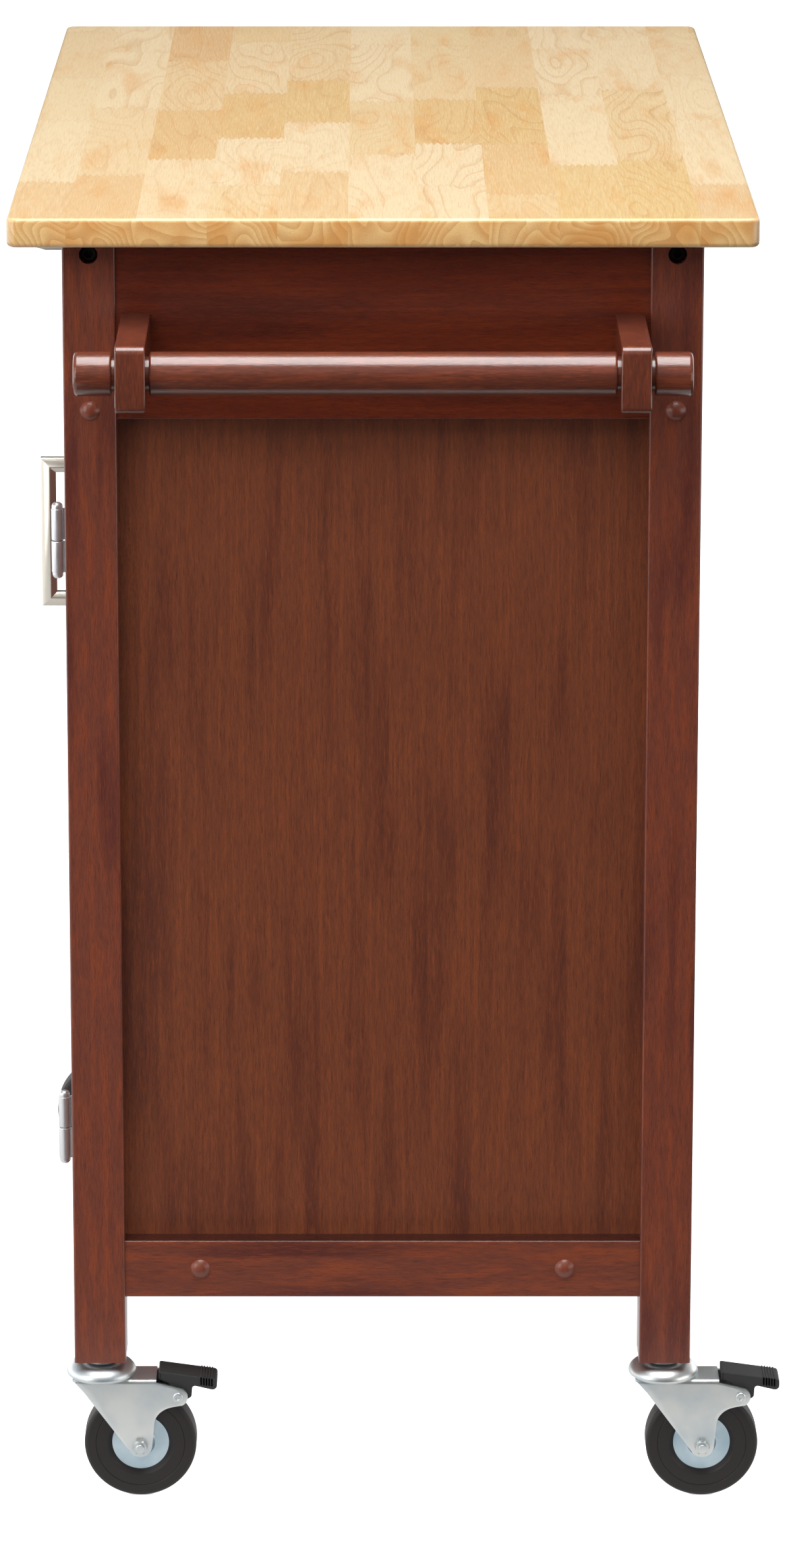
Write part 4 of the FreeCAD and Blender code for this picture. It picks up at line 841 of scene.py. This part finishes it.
def glossy_wood(grain):
    """The glossier stained wood of the turned and shaped parts."""
    stain = bpy.context.scene.cart_stain
    name = f"glossy_stained_wood_{grain.lower()}"
    shades = (stain.turned, stain.dark, stain.red)
    return once(name, stained_wood, name, grain, shades, satin=0.2, coat=0.35, figure=0.5)


# Operators

class CART_OT_worktop(bpy.types.Operator):
    """Rounded slab of butcher block"""
    bl_idname = "cart.worktop"
    bl_label = "Worktop"

    def execute(self, context):
        top = context.scene.cart_worktop
        low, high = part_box("worktop")
        outline = rounded(rectangle(low.x, high.x, low.y, high.y), top.corner)
        shape = slab(outline, low.z, high.z, (top.under_round, top.top_round), "Z")
        make_piece("worktop_block", shape, butcher_block(), "cabinet",
                   ["worktop"])
        return {"FINISHED"}


class CART_OT_boards(bpy.types.Operator):
    """Stain on the cabinet's and the door's boards, raw wood on the drawer box"""
    bl_idname = "cart.boards"
    bl_label = "Boards"

    def execute(self, context):
        stain = context.scene.cart_stain
        veneer = (stain.veneer_length, stain.veneer_patch)
        panel = stained_wood("stained_panel", "Z", tones(stain, "panel_"), satin=0.3, coat=0.15,
                             figure=0.75, patch=veneer)
        # Aprons: redder wood, darkened further as painted shade under the worktop's overhang
        apron = stained_wood("stained_apron", "Y", tones(stain, "apron_"), satin=0.3, coat=0.1,
                             figure=0.8, patch=veneer)
        # The side rails carry painted shade on their up-facing top under the panels
        rail = stained_wood("stained_side_rail", "Y", tones(stain), satin=0.3, coat=0.15, shaded_ledge=0.85)
        woods = {
            "Z": [f"post_{corner}" for corner in CORNERS] + [
                "back_panel", "centre_partition", "door_stile_hinge", "door_stile_pull",
                "door_panel"],
            "X": ["front_top_rail", "front_mid_rail", "front_bottom_rail", "back_top_rail",
                  "back_mid_rail", "bottom_shelf", "shelf_right", "shelf_left",
                  "door_rail_top", "door_rail_bottom", "drawer_front"],
        }
        finishes = [(board_wood(grain), names) for grain, names in woods.items()]
        for material, name in ((panel, "side_panel"), (apron, "side_apron"), (rail, "side_rail")):
            finishes.append((material, [f"{name}_right", f"{name}_left"]))
        for material, names in finishes:
            for name in names:
                finish_node(name, material)
        raw_x, raw_y = raw_wood("X"), raw_wood("Y")
        for name, wood in (("drawer_side_right", raw_y), ("drawer_side_left", raw_y),
                           ("drawer_back", raw_x), ("drawer_bottom", raw_y)):
            finish_node(name, wood)
        return {"FINISHED"}


class CART_OT_towel_bar(bpy.types.Operator):
    """Towel bar with its necks, two caps and two blocks"""
    bl_idname = "cart.towel_bar"
    bl_label = "Towel bar"

    def execute(self, context):
        bar = context.scene.cart_bar
        wood = glossy_wood("Y")
        centre = middle("towel_bar")
        low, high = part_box("towel_bar")
        radius = (high.z - low.z) / 2
        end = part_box("towel_bar_caps")[1].y
        low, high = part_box("towel_brackets")
        inner = high.y - bar.thick
        step = inner - bar.gap
        start = end - bar.cap
        tenon = start + bar.tenon_length
        half = [(step, radius, bar.shoulder), (step, bar.neck, 0), (start, bar.neck, 0),
                (start, bar.tenon, 0), (tenon, bar.tenon, 0), (tenon, 0, 0)]
        make_piece("towel_bar_dowel", turned(mirrored(half), "Y", centre, FINE_SIDES), wood,
                   "cabinet", ["towel_bar"])
        hole = bar.tenon + bar.play
        cap = turned([(tenon, 0, 0), (end, 0, 0), (end, radius, bar.cap_round),
                      (start, radius, bar.shoulder), (start, hole, 0), (tenon, hole, 0)],
                     "Y", (centre[0], 0, centre[2]), FINE_SIDES, closed=True)
        make_piece("towel_bar_end_caps", paired(cap, "Y"), wood, "cabinet",
                   ["towel_bar_caps"])
        outline = rounded([(low.x, low.z, 0), (high.x, low.z, bar.block_round),
                           (high.x, high.z, bar.block_round), (low.x, high.z, 0)])
        block = slab(outline, inner, high.y, bar.bevel, "Y")
        make_piece("towel_bar_blocks", paired(block, "Y"), glossy_wood("Z"), "cabinet",
                   ["towel_brackets"])
        return {"FINISHED"}


class CART_OT_fasteners(bpy.types.Operator):
    """Bolts with their barrel nuts, and the domed plugs over some of them"""
    bl_idname = "cart.fasteners"
    bl_label = "Fasteners"

    def execute(self, context):
        size = context.scene.cart_fasteners
        stain = context.scene.cart_stain
        post_low, post_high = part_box("post_back_right")
        rail_low, rail_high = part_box("side_rail_right")
        head_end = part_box("frame_bolts")[1].x
        post_y = middle("post_back_right")[1]
        half = size.nut_length / 2
        nut = mirrored([(half, size.nut, size.edge), (half, 0, 0)])
        bolts, plugs = [], []
        for y, board, board_end, face in (
                (post_y, "front_top_rail", post_low.x, None),
                (post_y, "front_mid_rail", post_low.x, post_high.x),
                (size.low_place, "side_rail_right", rail_low.x, rail_high.x)):
            level = middle(board)[2]
            nut_x = board_end - size.nut_reach
            bolts.append(self.bolt(size, nut_x - size.past, head_end, (0, y, level)))
            bolts.append(turned(nut, "Z", (nut_x, y, level)))
            if face is not None:
                plugs.append(self.plug(size, face, (0, y, level)))
        wood = stained_wood("stained_plugs", "Z", (stain.plug, stain.mid, stain.red), satin=0.34,
                            coat=0.0, figure=0.5)
        for name, shapes, material, slot, node in (
                ("frame_bolts_and_nuts", bolts, black_oxide(), "bright_steel", "frame_bolts"),
                ("domed_plugs", plugs, wood, STAINED, "dome_plugs")):
            make_piece(name, paired(paired(joined(shapes), "Y"), "X"), material, "cabinet",
                       [node])
        return {"FINISHED"}

    def bolt(self, size, tip, end, centre):
        """A capped head with a hexagon socket on a plain shank."""
        under, floor = end - size.head_height, end - size.socket_depth
        profile = np.array([(tip, 0), (tip, size.shank), (under, size.shank), (under, size.head),
                            (end - size.edge, size.head), (end, size.head - size.edge),
                            (end, size.socket), (floor, size.socket), (floor, 0)])
        return revolve(profile, "X", centre, hexagonal=(0, 0, 0, 0, 0, 0, 1, 1, 0))

    def plug(self, size, face, centre):
        """A stem with a cap of a sphere: radius (r^2 + h^2) / 2h for its width and height."""
        sphere = (size.plug ** 2 + size.plug_height ** 2) / (2 * size.plug_height)
        turn = np.linspace(math.asin(size.plug / sphere), 0, ARC_STEPS * 2)
        dome = np.stack([face + size.plug_height - sphere * (1 - np.cos(turn)),
                         sphere * np.sin(turn)], axis=1)
        bottom = face - size.plug_depth
        stem = [(bottom, 0), (bottom, size.plug_stem), (face, size.plug_stem)]
        return revolve(np.concatenate([stem, dome]), "X", centre)


class CART_OT_pulls(bpy.types.Operator):
    """Two square loop pulls whose bar has a ridge between a wide and a narrow facet"""
    bl_idname = "cart.pulls"
    bl_label = "Pulls"

    def execute(self, context):
        pull = context.scene.cart_pulls
        half = pull.bar / 2
        section, _ = rounded([(half, -pull.outer_edge), (half, pull.outer_edge),
                              (pull.ridge, half), (-half, pull.inner_edge),
                              (-half, -pull.inner_edge), (pull.ridge, -half)],
                             pull.rounding, steps=4)
        for name, axis, grain, body in (("drawer_pull", "Z", "X", "drawer"),
                                        ("door_pull", "X", "Z", "door")):
            low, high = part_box(name)
            length_axis, flat_axis = "XYZ".index(grain), "XYZ".index(axis)
            start, end = low[length_axis] + half, high[length_axis] - half
            # Out from the board, along the cart or up, and back to the board
            loop = np.array([(high.y, start), (low.y + half, start), (low.y + half, end),
                             (high.y, end)])
            side = -1
            if axis == "Z":
                loop, side = loop[:, ::-1], 1
            path, outsets = rounded(loop, closed=False)
            points = carried(path, outsets * side, section, axis)
            points[..., flat_axis] += middle(name)[flat_axis]
            shape = grid(points.transpose(1, 0, 2), closed_columns=True, caps=True)
            make_piece(f"{name}_loop", shape, brushed_nickel(grain), body,
                       [name])
        return {"FINISHED"}


class CART_OT_hinges(bpy.types.Operator):
    """Lift-off hinges: a leaf, a knuckle with rounded ends and a domed finial for each half"""
    bl_idname = "cart.hinges"
    bl_label = "Hinges"

    def execute(self, context):
        size = context.scene.cart_hinges
        steel = once("nickel_plated_steel", nickel_plated_steel)
        low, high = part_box("post_hinge_leaves")
        half = size.height / 2
        for name, body, way in (("post_hinge_leaves", "cabinet", -1),
                                ("door_hinge_leaves", "door", 1)):
            shapes = []
            for seam in (low.z + half, high.z - half):
                shapes += self.hinge(size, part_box(name)[1].y, seam, half, way)
            make_piece(f"{name}_formed", joined(shapes), steel, body, [name])
        return {"FINISHED"}

    def hinge(self, size, edge, seam, half, way):
        """Knuckle from the seam to the tip, a thin leaf, and its neck out to the knuckle."""
        x, y, _ = joint("door_hinge")
        start = size.seam / 2
        shoulder = half - size.finial_height
        profile = np.array([(start, 0, 0), (start, size.barrel, size.edge),
                            (shoulder, size.barrel, size.edge / 2), (shoulder, size.finial, 0),
                            (half, size.finial, size.dome), (half, 0, 0)])
        shapes = [turned(profile * (way, 1, 1), "Z", (x, y, seam))]
        centre_x = x - way * (size.leaf + size.leaf_gap) / 2
        sides = (centre_x - size.leaf / 2, centre_x + size.leaf / 2)
        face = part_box("door_stile_hinge")[0].y
        bottom, top = seam - half, seam + half
        leaf = rounded([(face, bottom, 0), (edge, bottom, size.leaf_corner),
                        (edge, top, size.leaf_corner), (face, top, 0)])
        near, far = sorted((seam + way * start, seam + way * shoulder))
        neck = rounded(rectangle(y, face, near, far))
        return shapes + [slab(leaf, *sides, size.leaf_edge, "X"),
                         slab(neck, *sides, size.leaf_edge / 2, "X")]


class CART_OT_forks(bpy.types.Operator):
    """Pressed caster forks with cup, axle bolt, nut and brake rivet, and the stems"""
    bl_idname = "cart.forks"
    bl_label = "Caster forks"

    def execute(self, context):
        size = context.scene.cart_casters
        metal = context.scene.cart_metal
        zinc = zinc_plating("zinc_plating", metal.zinc, metal.zinc_blue)
        steel = once("nickel_plated_steel", nickel_plated_steel)
        stems = []
        for corner in CORNERS:
            stem, axle = joint(f"swivel_{corner}"), joint(f"wheel_turn_{corner}")
            pivot = None
            if corner in BRAKED:
                brake = joint(f"brake_{corner}")
                pivot = (abs(brake[1] - stem[1]), brake[2])
            trail = axle[1] - stem[1]
            way, level = np.sign(trail), axle[2]
            where = (stem[0], stem[1], 0)
            pieces = []
            for name, shape, nodes in (
                    ("shell", self.shell(size, abs(trail), level, pivot), [f"caster_fork_{corner}"]),
                    ("fittings", joined(self.details(size, abs(trail), level, pivot)), [])):
                points, faces = shape
                pieces.append(make_piece(
                    f"fork_{name}_{corner}", moved((points * (way, way, 1), faces), where), zinc,
                    f"fork_{corner}", nodes))
            thick = pieces[0].modifiers.new("sheet", "SOLIDIFY")
            thick.thickness, thick.offset, thick.use_even_offset = size.sheet, -1, True
            edge = pieces[0].modifiers.new("edge", "BEVEL")
            edge.width, edge.segments, edge.limit_method = size.sheet_edge, 2, "ANGLE"
            stems.append(moved(self.stem(size), where))
        make_piece("caster_stems_turned", joined(stems), steel, "cabinet",
                   ["caster_stems"])
        return {"FINISHED"}

    def shell(self, size, trail, axle_z, pivot):
        """The U-shaped sheet: its cross-section carried from the front edge to the back.

        The cross-section runs up one plate, over the crown and down the other. At each
        of its levels the sheet spans from front(z) to back(z), which follow straight
        edges and arcs about the axle and the brake rivet.
        """
        turn = np.linspace(0, math.pi / 2, BOSS_ROWS)
        side_z = np.concatenate([axle_z - size.boss * np.cos(turn),
                                 np.linspace(axle_z, size.crown - size.bend, PLATE_ROWS)[1:]])
        side_x = np.full(len(side_z), size.outside)
        bend = np.linspace(0, math.pi / 2, ARC_STEPS)[1:]
        side_x = np.concatenate([side_x, size.outside - size.bend * (1 - np.cos(bend))])
        side_z = np.concatenate([side_z, size.crown - size.bend * (1 - np.sin(bend))])
        x = np.concatenate([side_x, -side_x[::-1]])[:, None]
        z = np.concatenate([side_z, side_z[::-1]])[:, None]
        front, back = self.edges(size, trail, axle_z, pivot, z)
        y = front + (back - front) * np.linspace(0, 1, SHEET_COLUMNS)
        return grid(np.stack(np.broadcast_arrays(x, y, z), axis=-1))

    def edges(self, size, trail, axle_z, pivot, z):
        """Front and back of a side plate at each level z.

        Both are straight between a few levels, and reach out to circles about the axle
        and the rivet: their radius r at a height h gives sqrt(r^2 - h^2) either way.
        """
        boss = np.sqrt(np.clip(size.boss ** 2 - (z - axle_z) ** 2, 0, None))
        near = np.abs(z - axle_z) <= size.boss
        # Where the front edge leaves the boss and goes on as a straight line
        leave_y, leave_z = trail - size.boss * 0.8, axle_z - size.boss * 0.58
        front = np.interp(z, [leave_z, size.shoulder_z, size.crown],
                          [leave_y, size.shoulder_y, -size.front])
        low = np.minimum(np.where(z < leave_z, trail, front), trail - boss)
        front = np.where(near, low, front)
        if pivot is None:
            back_z = [axle_z, size.crown - size.waist_drop, size.crown]
            back_y = [trail + size.boss, size.waist, size.plain_back]
        else:
            pivot_y, pivot_z = pivot
            # A quarter ellipse leads from the waist into the arm's lower edge
            bend = np.linspace(0, math.pi / 2, NOTCH_ROWS)
            rise = pivot_z - size.arm - size.notch_height * (1 - np.sin(bend))
            back_z = np.concatenate([[axle_z], rise,
                                     [pivot_z + size.arm, size.crown - size.sheet, size.crown]])
            back_y = np.concatenate([[trail + size.boss],
                                     size.waist + (pivot_y - size.waist) * (1 - np.cos(bend)),
                                     [pivot_y, size.braked_back, size.braked_back]])
        back = np.interp(z, back_z, back_y)
        high = np.maximum(np.where(z < axle_z, trail, back), trail + boss)
        back = np.where(near, high, back)
        if pivot is not None:
            arm = np.sqrt(np.clip(size.arm ** 2 - (z - pivot_z) ** 2, 0, None))
            on_arm = np.abs(z - pivot_z) <= size.arm
            back = np.where(on_arm, np.maximum(back, pivot_y + arm), back)
        return front, back

    def details(self, size, trail, axle_z, pivot):
        """Cup, axle bolt with nuts, and the brake rivet."""
        axle = (0, trail, axle_z)
        nut_end = size.outside + size.axle_nut_height
        bolt_end = nut_end + size.axle_end
        bolt = [(-nut_end, 0, 0), (-nut_end, size.axle, size.bolt_edge),
                (bolt_end, size.axle, size.bolt_edge * 1.2), (bolt_end, 0, 0)]
        edge = size.nut_edge
        nut = np.array([(size.outside, size.axle), (size.outside, size.axle_nut),
                        (nut_end - edge, size.axle_nut), (nut_end, size.axle_nut - edge),
                        (nut_end, size.axle)])
        shapes = [self.cup(size), turned(bolt, "X", axle)]
        shapes += [revolve(nut * (side, 1), "X", axle, hexagonal=(1, 1, 1, 0, 0)) for side in SIDES]
        if pivot is not None:
            tip = size.outside + size.rivet_height
            dimple = tip - size.dimple
            head = np.array([(size.outside, 0, 0), (size.outside, size.rivet, 0),
                             (tip, size.rivet, 1.1 * MM), (tip, size.rivet * 0.45, 0.4 * MM),
                             (dimple, size.rivet * 0.3, 0.2 * MM), (dimple, 0, 0)])
            shapes += [turned(head * (side, 1, 1), "X", (0, *pivot)) for side in SIDES]
            pin = [(size.outside, size.pin, 0), (size.outside, 0, 0)]
            shapes.append(turned(mirrored(pin), "X", (0, *pivot)))
        return shapes

    def cup(self, size):
        """The raceway cup: a thin dome round the stem whose skirt stands on the crown."""
        bore = size.stem + size.cup_play
        foot = size.crown - 0.5 * MM
        rim = size.crown + size.rim
        # Drop below the top, and radius, from the bore out to the skirt
        dome = np.array([(0.4, 12), (0, 15), (0.6, 18), (2, 20.5), (4, 22.4)]) * MM
        profile = np.array([
            (foot, bore), (size.cup_top - 0.9 * MM, bore), *((size.cup_top, 0) + dome * (-1, 1)),
            (size.cup_top - 6 * MM, size.cup), (rim, size.cup - 0.2 * MM),
            (rim - 0.6 * MM, size.cup - 1.2 * MM), (foot, size.cup - 4 * MM)])
        return revolve(smooth_profile(profile), "Z", (0, 0, 0), FINE_SIDES, closed=True)

    def stem(self, size):
        """Stem, collar under the post and the head under the crown."""
        low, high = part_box("caster_stems")
        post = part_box("post_back_right")[0].z
        under = size.crown - size.sheet - size.head_gap
        collar = post - size.collar_height
        return turned([(low.z, 0, 0), (low.z, size.head, 0.8 * MM), (under, size.head, 0),
                       (under, size.stem, 0), (collar, size.stem, 0),
                       (collar, size.collar, 1.2 * MM), (post, size.collar, 0.4 * MM),
                       (post, size.stem, 0), (high.z, size.stem, 0.6 * MM), (high.z, 0, 0)],
                      "Z", (0, 0, 0))


class CART_OT_wheels(bpy.types.Operator):
    """Zinc hub discs and rubber tyres with a rounded shoulder and a fine sidewall ring"""
    bl_idname = "cart.wheels"
    bl_label = "Wheels"

    def execute(self, context):
        size = context.scene.cart_casters
        metal = context.scene.cart_metal
        zinc = zinc_plating("blue_zinc_plating", metal.hub, metal.hub_blue)
        rubber = moulded("tyre_rubber", context.scene.cart_pedals.rubber, 0.667 * MM, (0.5, 0.62),
                         0.05 * MM)
        for corner in CORNERS:
            low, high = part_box(f"wheel_hub_{corner}")
            centre = middle(f"wheel_hub_{corner}")
            half = (high.x - low.x) / 2
            boss = size.hub_boss + size.hub_slope
            bore = size.axle + size.axle_play
            hub = mirrored([(size.hub_face, size.hub, 0), (size.hub_face, boss, 2 * MM),
                            (half, size.hub_boss, MM), (half, bore, 0)])
            ring, width = size.ring, size.ring_width
            tyre = mirrored([(half, centre[2], size.shoulder), (half, ring + width, 0),
                             (half - size.ring_depth, ring + width / 2, 0), (half, ring, 0),
                             (half, size.hub + size.lip, 0.8 * MM), (size.hub_face, size.hub, 0)])
            for name, profile, material, slot, node in (
                    ("hub_disc", hub, zinc, "zinc_plated_steel", "wheel_hub"),
                    ("tyre", tyre, rubber, "tyre", "wheel_tyre")):
                make_piece(f"{name}_{corner}", turned(profile, "X", centre, FINE_SIDES, closed=True),
                           material, f"wheel_{corner}", [f"{node}_{corner}"])
        return {"FINISHED"}


class CART_OT_pedals(bpy.types.Operator):
    """Moulded brake pedals with grip ribs across the tip"""
    bl_idname = "cart.pedals"
    bl_label = "Brake pedals"

    def execute(self, context):
        pedal = context.scene.cart_pedals
        plastic = moulded("moulded_nylon", pedal.plastic, 0.4545 * MM, (0.64, 0.76), 0.03 * MM)
        for corner in BRAKED:
            stem, pivot = joint(f"swivel_{corner}"), joint(f"brake_{corner}")
            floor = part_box(f"brake_pedal_{corner}")[0].z
            body = slab(rounded(self.outline(pedal, pivot[1] - stem[1], pivot[2], floor)),
                        -pedal.half_width, pedal.half_width, pedal.edge * 0.7, "X")
            shapes = [body] + [self.rib(pedal, index) for index in range(pedal.ribs)]
            make_piece(f"pedal_{corner}", moved(joined(shapes), (stem[0], stem[1], 0)), plastic,
                       f"pedal_{corner}", [f"brake_pedal_{corner}"])
        return {"FINISHED"}

    def outline(self, pedal, y, z, floor):
        """The pedal seen from the side, round its rivet at y, z: place, level and rounding."""
        top, tip = pedal.top, pedal.top - pedal.drop
        return [(pedal.inner, top - pedal.thick * 0.6, 0.8 * MM),
                (y - 6 * MM, top - pedal.thick * 0.95, 1 * MM), (y - 5 * MM, z, 2 * MM),
                # The shoe that presses on the tyre
                (y - 1 * MM, floor + 2.4 * MM, 1 * MM), (y + 1.5 * MM, floor, 1.5 * MM),
                (y + 5 * MM, floor + 2.6 * MM, 1 * MM),
                (y + 9 * MM, z - 1 * MM, 2 * MM), (y + 9.5 * MM, top - pedal.thick * 1.1, 2 * MM),
                (pedal.outer, tip - pedal.skirt * 1.6, pedal.tip),
                (pedal.outer, tip, pedal.tip * 0.8), (pedal.inner, top, pedal.edge)]

    def rib(self, pedal, index):
        """One grip rib across the sloping top, counted from the tip."""
        slope = -pedal.drop / (pedal.outer - pedal.inner)
        y = pedal.outer - pedal.rib_start - index * pedal.rib_pitch
        z = pedal.top + slope * (y - pedal.inner) + pedal.rib
        outline = rounded(rectangle(y - pedal.rib, y + pedal.rib, z - pedal.rib_drop, z),
                          pedal.rib * 0.8, steps=4)
        reach = pedal.half_width + pedal.rib
        return slab(outline, -reach, reach, 0.2 * MM, "X")


class CART_OT_hardware(bpy.types.Operator):
    """Finish of the runners, slides, shelf pins, screws and magnetic catch"""
    bl_idname = "cart.hardware"
    bl_label = "Inner hardware"

    def execute(self, context):
        steel = once("nickel_plated_steel", nickel_plated_steel)
        for name in ("shelf_pins", "wood_screws", "drawer_runners", "drawer_slides",
                     "magnetic_catch"):
            finish_node(name, steel)
        return {"FINISHED"}


class CART_OT_stage(bpy.types.Operator):
    """Pale floor, white backdrop and surroundings, soft lights and the camera"""
    bl_idname = "cart.stage"
    bl_label = "Stage"

    def execute(self, context):
        stage = context.scene.cart_stage
        self.floor(stage)
        self.light("overhead_softbox", stage.overhead, stage.overhead_place,
                   (stage.overhead_x, stage.overhead_y), stage.overhead_place[:2] + (0,))
        aim = (0, 0, stage.aim_level)
        fill = self.light("camera_side_softbox", stage.fill, stage.fill_place,
                          (stage.card_width, stage.card_width), aim)
        # Polarised away from the varnish, which keeps dark wood deep
        fill.visible_glossy = False
        self.light("side_softbox", stage.side, stage.side_place,
                   (stage.side_width, stage.card_width), aim)
        for name, x, y in (("front_card", 0, -stage.card_y),
                           ("back_card", stage.card_x, stage.card_y),
                           ("far_front_card", stage.far_x, -stage.far_y),
                           ("far_back_card", stage.far_x, stage.far_y)):
            self.light(name, stage.card, (x, y, stage.card_level),
                       (stage.card_width, stage.card_height), (0, 0, stage.card_level))
        context.scene.world = self.surroundings(stage)
        data = bpy.data.cameras.new("camera")
        data.lens, data.shift_x, data.shift_y = stage.lens, stage.shift_x, stage.shift_y
        camera = bpy.data.objects.new("camera", data)
        camera.location = stage.camera
        camera.rotation_euler = (math.pi / 2 - stage.pitch, 0, math.pi / 2)
        context.scene.collection.objects.link(camera)
        context.scene.camera = camera
        context.scene.view_settings.view_transform = "Standard"
        return {"FINISHED"}

    def floor(self, stage):
        """A wide floor that glows a little, and the parts of it that light the cart.

        Dark varnish would turn grey if it mirrored a bright floor all the way to the
        camera, so light and reflections come only from a floor near the cart, and the
        hinges and pulls mirror one in front of it. Beyond the floor, a backdrop that only
        the eye sees rises all round like a bowl.
        """
        far, bounce = stage.floor_far_glow, (stage.bounce, stage.bounce)
        self.sheet(stage, "floor", stage.floor_size, 0, (stage.floor_glow, far), stage.floor,
                   ("glossy", "diffuse"))
        self.sheet(stage, "floor_bounce", stage.bounce_size, 1 * MM, bounce, BLACK,
                   ("camera", "shadow"))
        mirror = self.sheet(stage, "floor_mirrored", stage.mirror_size, 0, bounce, BLACK,
                            ("camera", "shadow", "diffuse"))
        mirror.location = stage.mirror_place
        self.sheet(stage, "backdrop", stage.backdrop_size, -1 * MM, (far, far), stage.floor,
                   ("glossy", "diffuse", "shadow"), stage.backdrop_height)

    def sheet(self, stage, name, size, level, glow, tone, hidden, rise=0.0):
        """A sheet whose glow changes from under the cart to away from it.

        Its height is level + rise * t^2, where t goes from 0 at the floor's edge to 1 at
        the sheet's own. Hidden names the kinds of ray that pass it by.
        """
        lines = np.linspace(-size / 2, size / 2, FLOOR_LINES)
        x, y = np.meshgrid(lines, lines, indexing="ij")
        edge = min(size, stage.floor_size) / 2
        beyond = (np.hypot(x, y) - edge) / max(size / 2 - edge, MM)
        height = level + rise * np.clip(beyond, 0, 1) ** 2
        points, faces = grid(np.stack([x, y, height], axis=-1))
        mesh = bpy.data.meshes.new(name)
        mesh.from_pydata(points.tolist(), [], faces)
        material, tree, at = new_material(f"pale_{name}")
        away = add_node(tree, "ShaderNodeVectorMath", {0: at["Object"]}, operation="LENGTH")["Value"]
        spread = {0: away, 1: stage.glow_start, 2: stage.glow_end, 3: glow[0], 4: glow[1]}
        finish_material(tree, Base_Color=tone, Roughness=0.9, Emission_Color=WHITE,
                        Emission_Strength=add_node(tree, "ShaderNodeMapRange", spread)[0])
        mesh.materials.append(material)
        sheet = bpy.data.objects.new(name, mesh)
        for ray in hidden:
            setattr(sheet, f"visible_{ray}", False)
        bpy.context.scene.collection.objects.link(sheet)
        return sheet

    def light(self, name, watts, where, size, target):
        """A rectangular softbox that looks at a point and isn't seen itself."""
        data = bpy.data.lights.new(name, "AREA")
        data.shape, data.energy = "RECTANGLE", watts
        data.size, data.size_y = size
        light = bpy.data.objects.new(name, data)
        light.location = where
        aim = Vector(target) - Vector(where)
        light.rotation_euler = aim.to_track_quat("-Z", "Y").to_euler()
        light.visible_camera = False
        bpy.context.scene.collection.objects.link(light)
        return light

    def surroundings(self, stage):
        """A white world that is dim below the horizon and grows brighter above it."""
        world = bpy.data.worlds.new("white_surroundings")
        world.use_nodes = True
        tree = world.node_tree
        tree.nodes.clear()
        way = add_node(tree, "ShaderNodeTexCoord")["Generated"]
        height = add_node(tree, "ShaderNodeSeparateXYZ", {0: way})[2]
        strength = add_node(tree, "ShaderNodeMapRange",
                            {0: height, 1: 0.05, 2: 0.5, 3: stage.world_low, 4: stage.world})[0]
        sky = add_node(tree, "ShaderNodeBackground", {"Color": WHITE, "Strength": strength})
        add_node(tree, "ShaderNodeOutputWorld", {"Surface": sky[0]})
        return world


class CART_PT_panel(bpy.types.Panel):
    """Lists the cart's pieces in the sidebar"""
    bl_idname = "CART_PT_panel"
    bl_label = "Kitchen cart"
    bl_space_type = "VIEW_3D"
    bl_region_type = "UI"
    bl_category = "Cart"

    def draw(self, context):
        for operator in OPERATORS:
            self.layout.operator(operator.bl_idname)


SETTINGS = {
    "cart_worktop": WorktopSettings,
    "cart_stain": StainSettings,
    "cart_metal": MetalSettings,
    "cart_bar": TowelBarSettings,
    "cart_fasteners": FastenerSettings,
    "cart_pulls": PullSettings,
    "cart_hinges": HingeSettings,
    "cart_casters": CasterSettings,
    "cart_pedals": PedalSettings,
    "cart_stage": StageSettings,
}
OPERATORS = (CART_OT_worktop, CART_OT_boards, CART_OT_towel_bar, CART_OT_fasteners,
             CART_OT_pulls, CART_OT_hinges, CART_OT_forks, CART_OT_wheels, CART_OT_pedals,
             CART_OT_hardware, CART_OT_stage)


def register():
    for settings in SETTINGS.values():
        bpy.utils.register_class(settings)
    for name, settings in SETTINGS.items():
        setattr(bpy.types.Scene, name, PointerProperty(type=settings))
    for item in OPERATORS + (CART_PT_panel,):
        bpy.utils.register_class(item)


def unregister():
    for item in reversed(OPERATORS + (CART_PT_panel,)):
        bpy.utils.unregister_class(item)
    for name in SETTINGS:
        delattr(bpy.types.Scene, name)
    for settings in reversed(SETTINGS.values()):
        bpy.utils.unregister_class(settings)


def main():
    register()
    for operator in OPERATORS:
        group, name = operator.bl_idname.split(".")
        getattr(getattr(bpy.ops, group), name)()


if __name__ == "__main__":
    main()
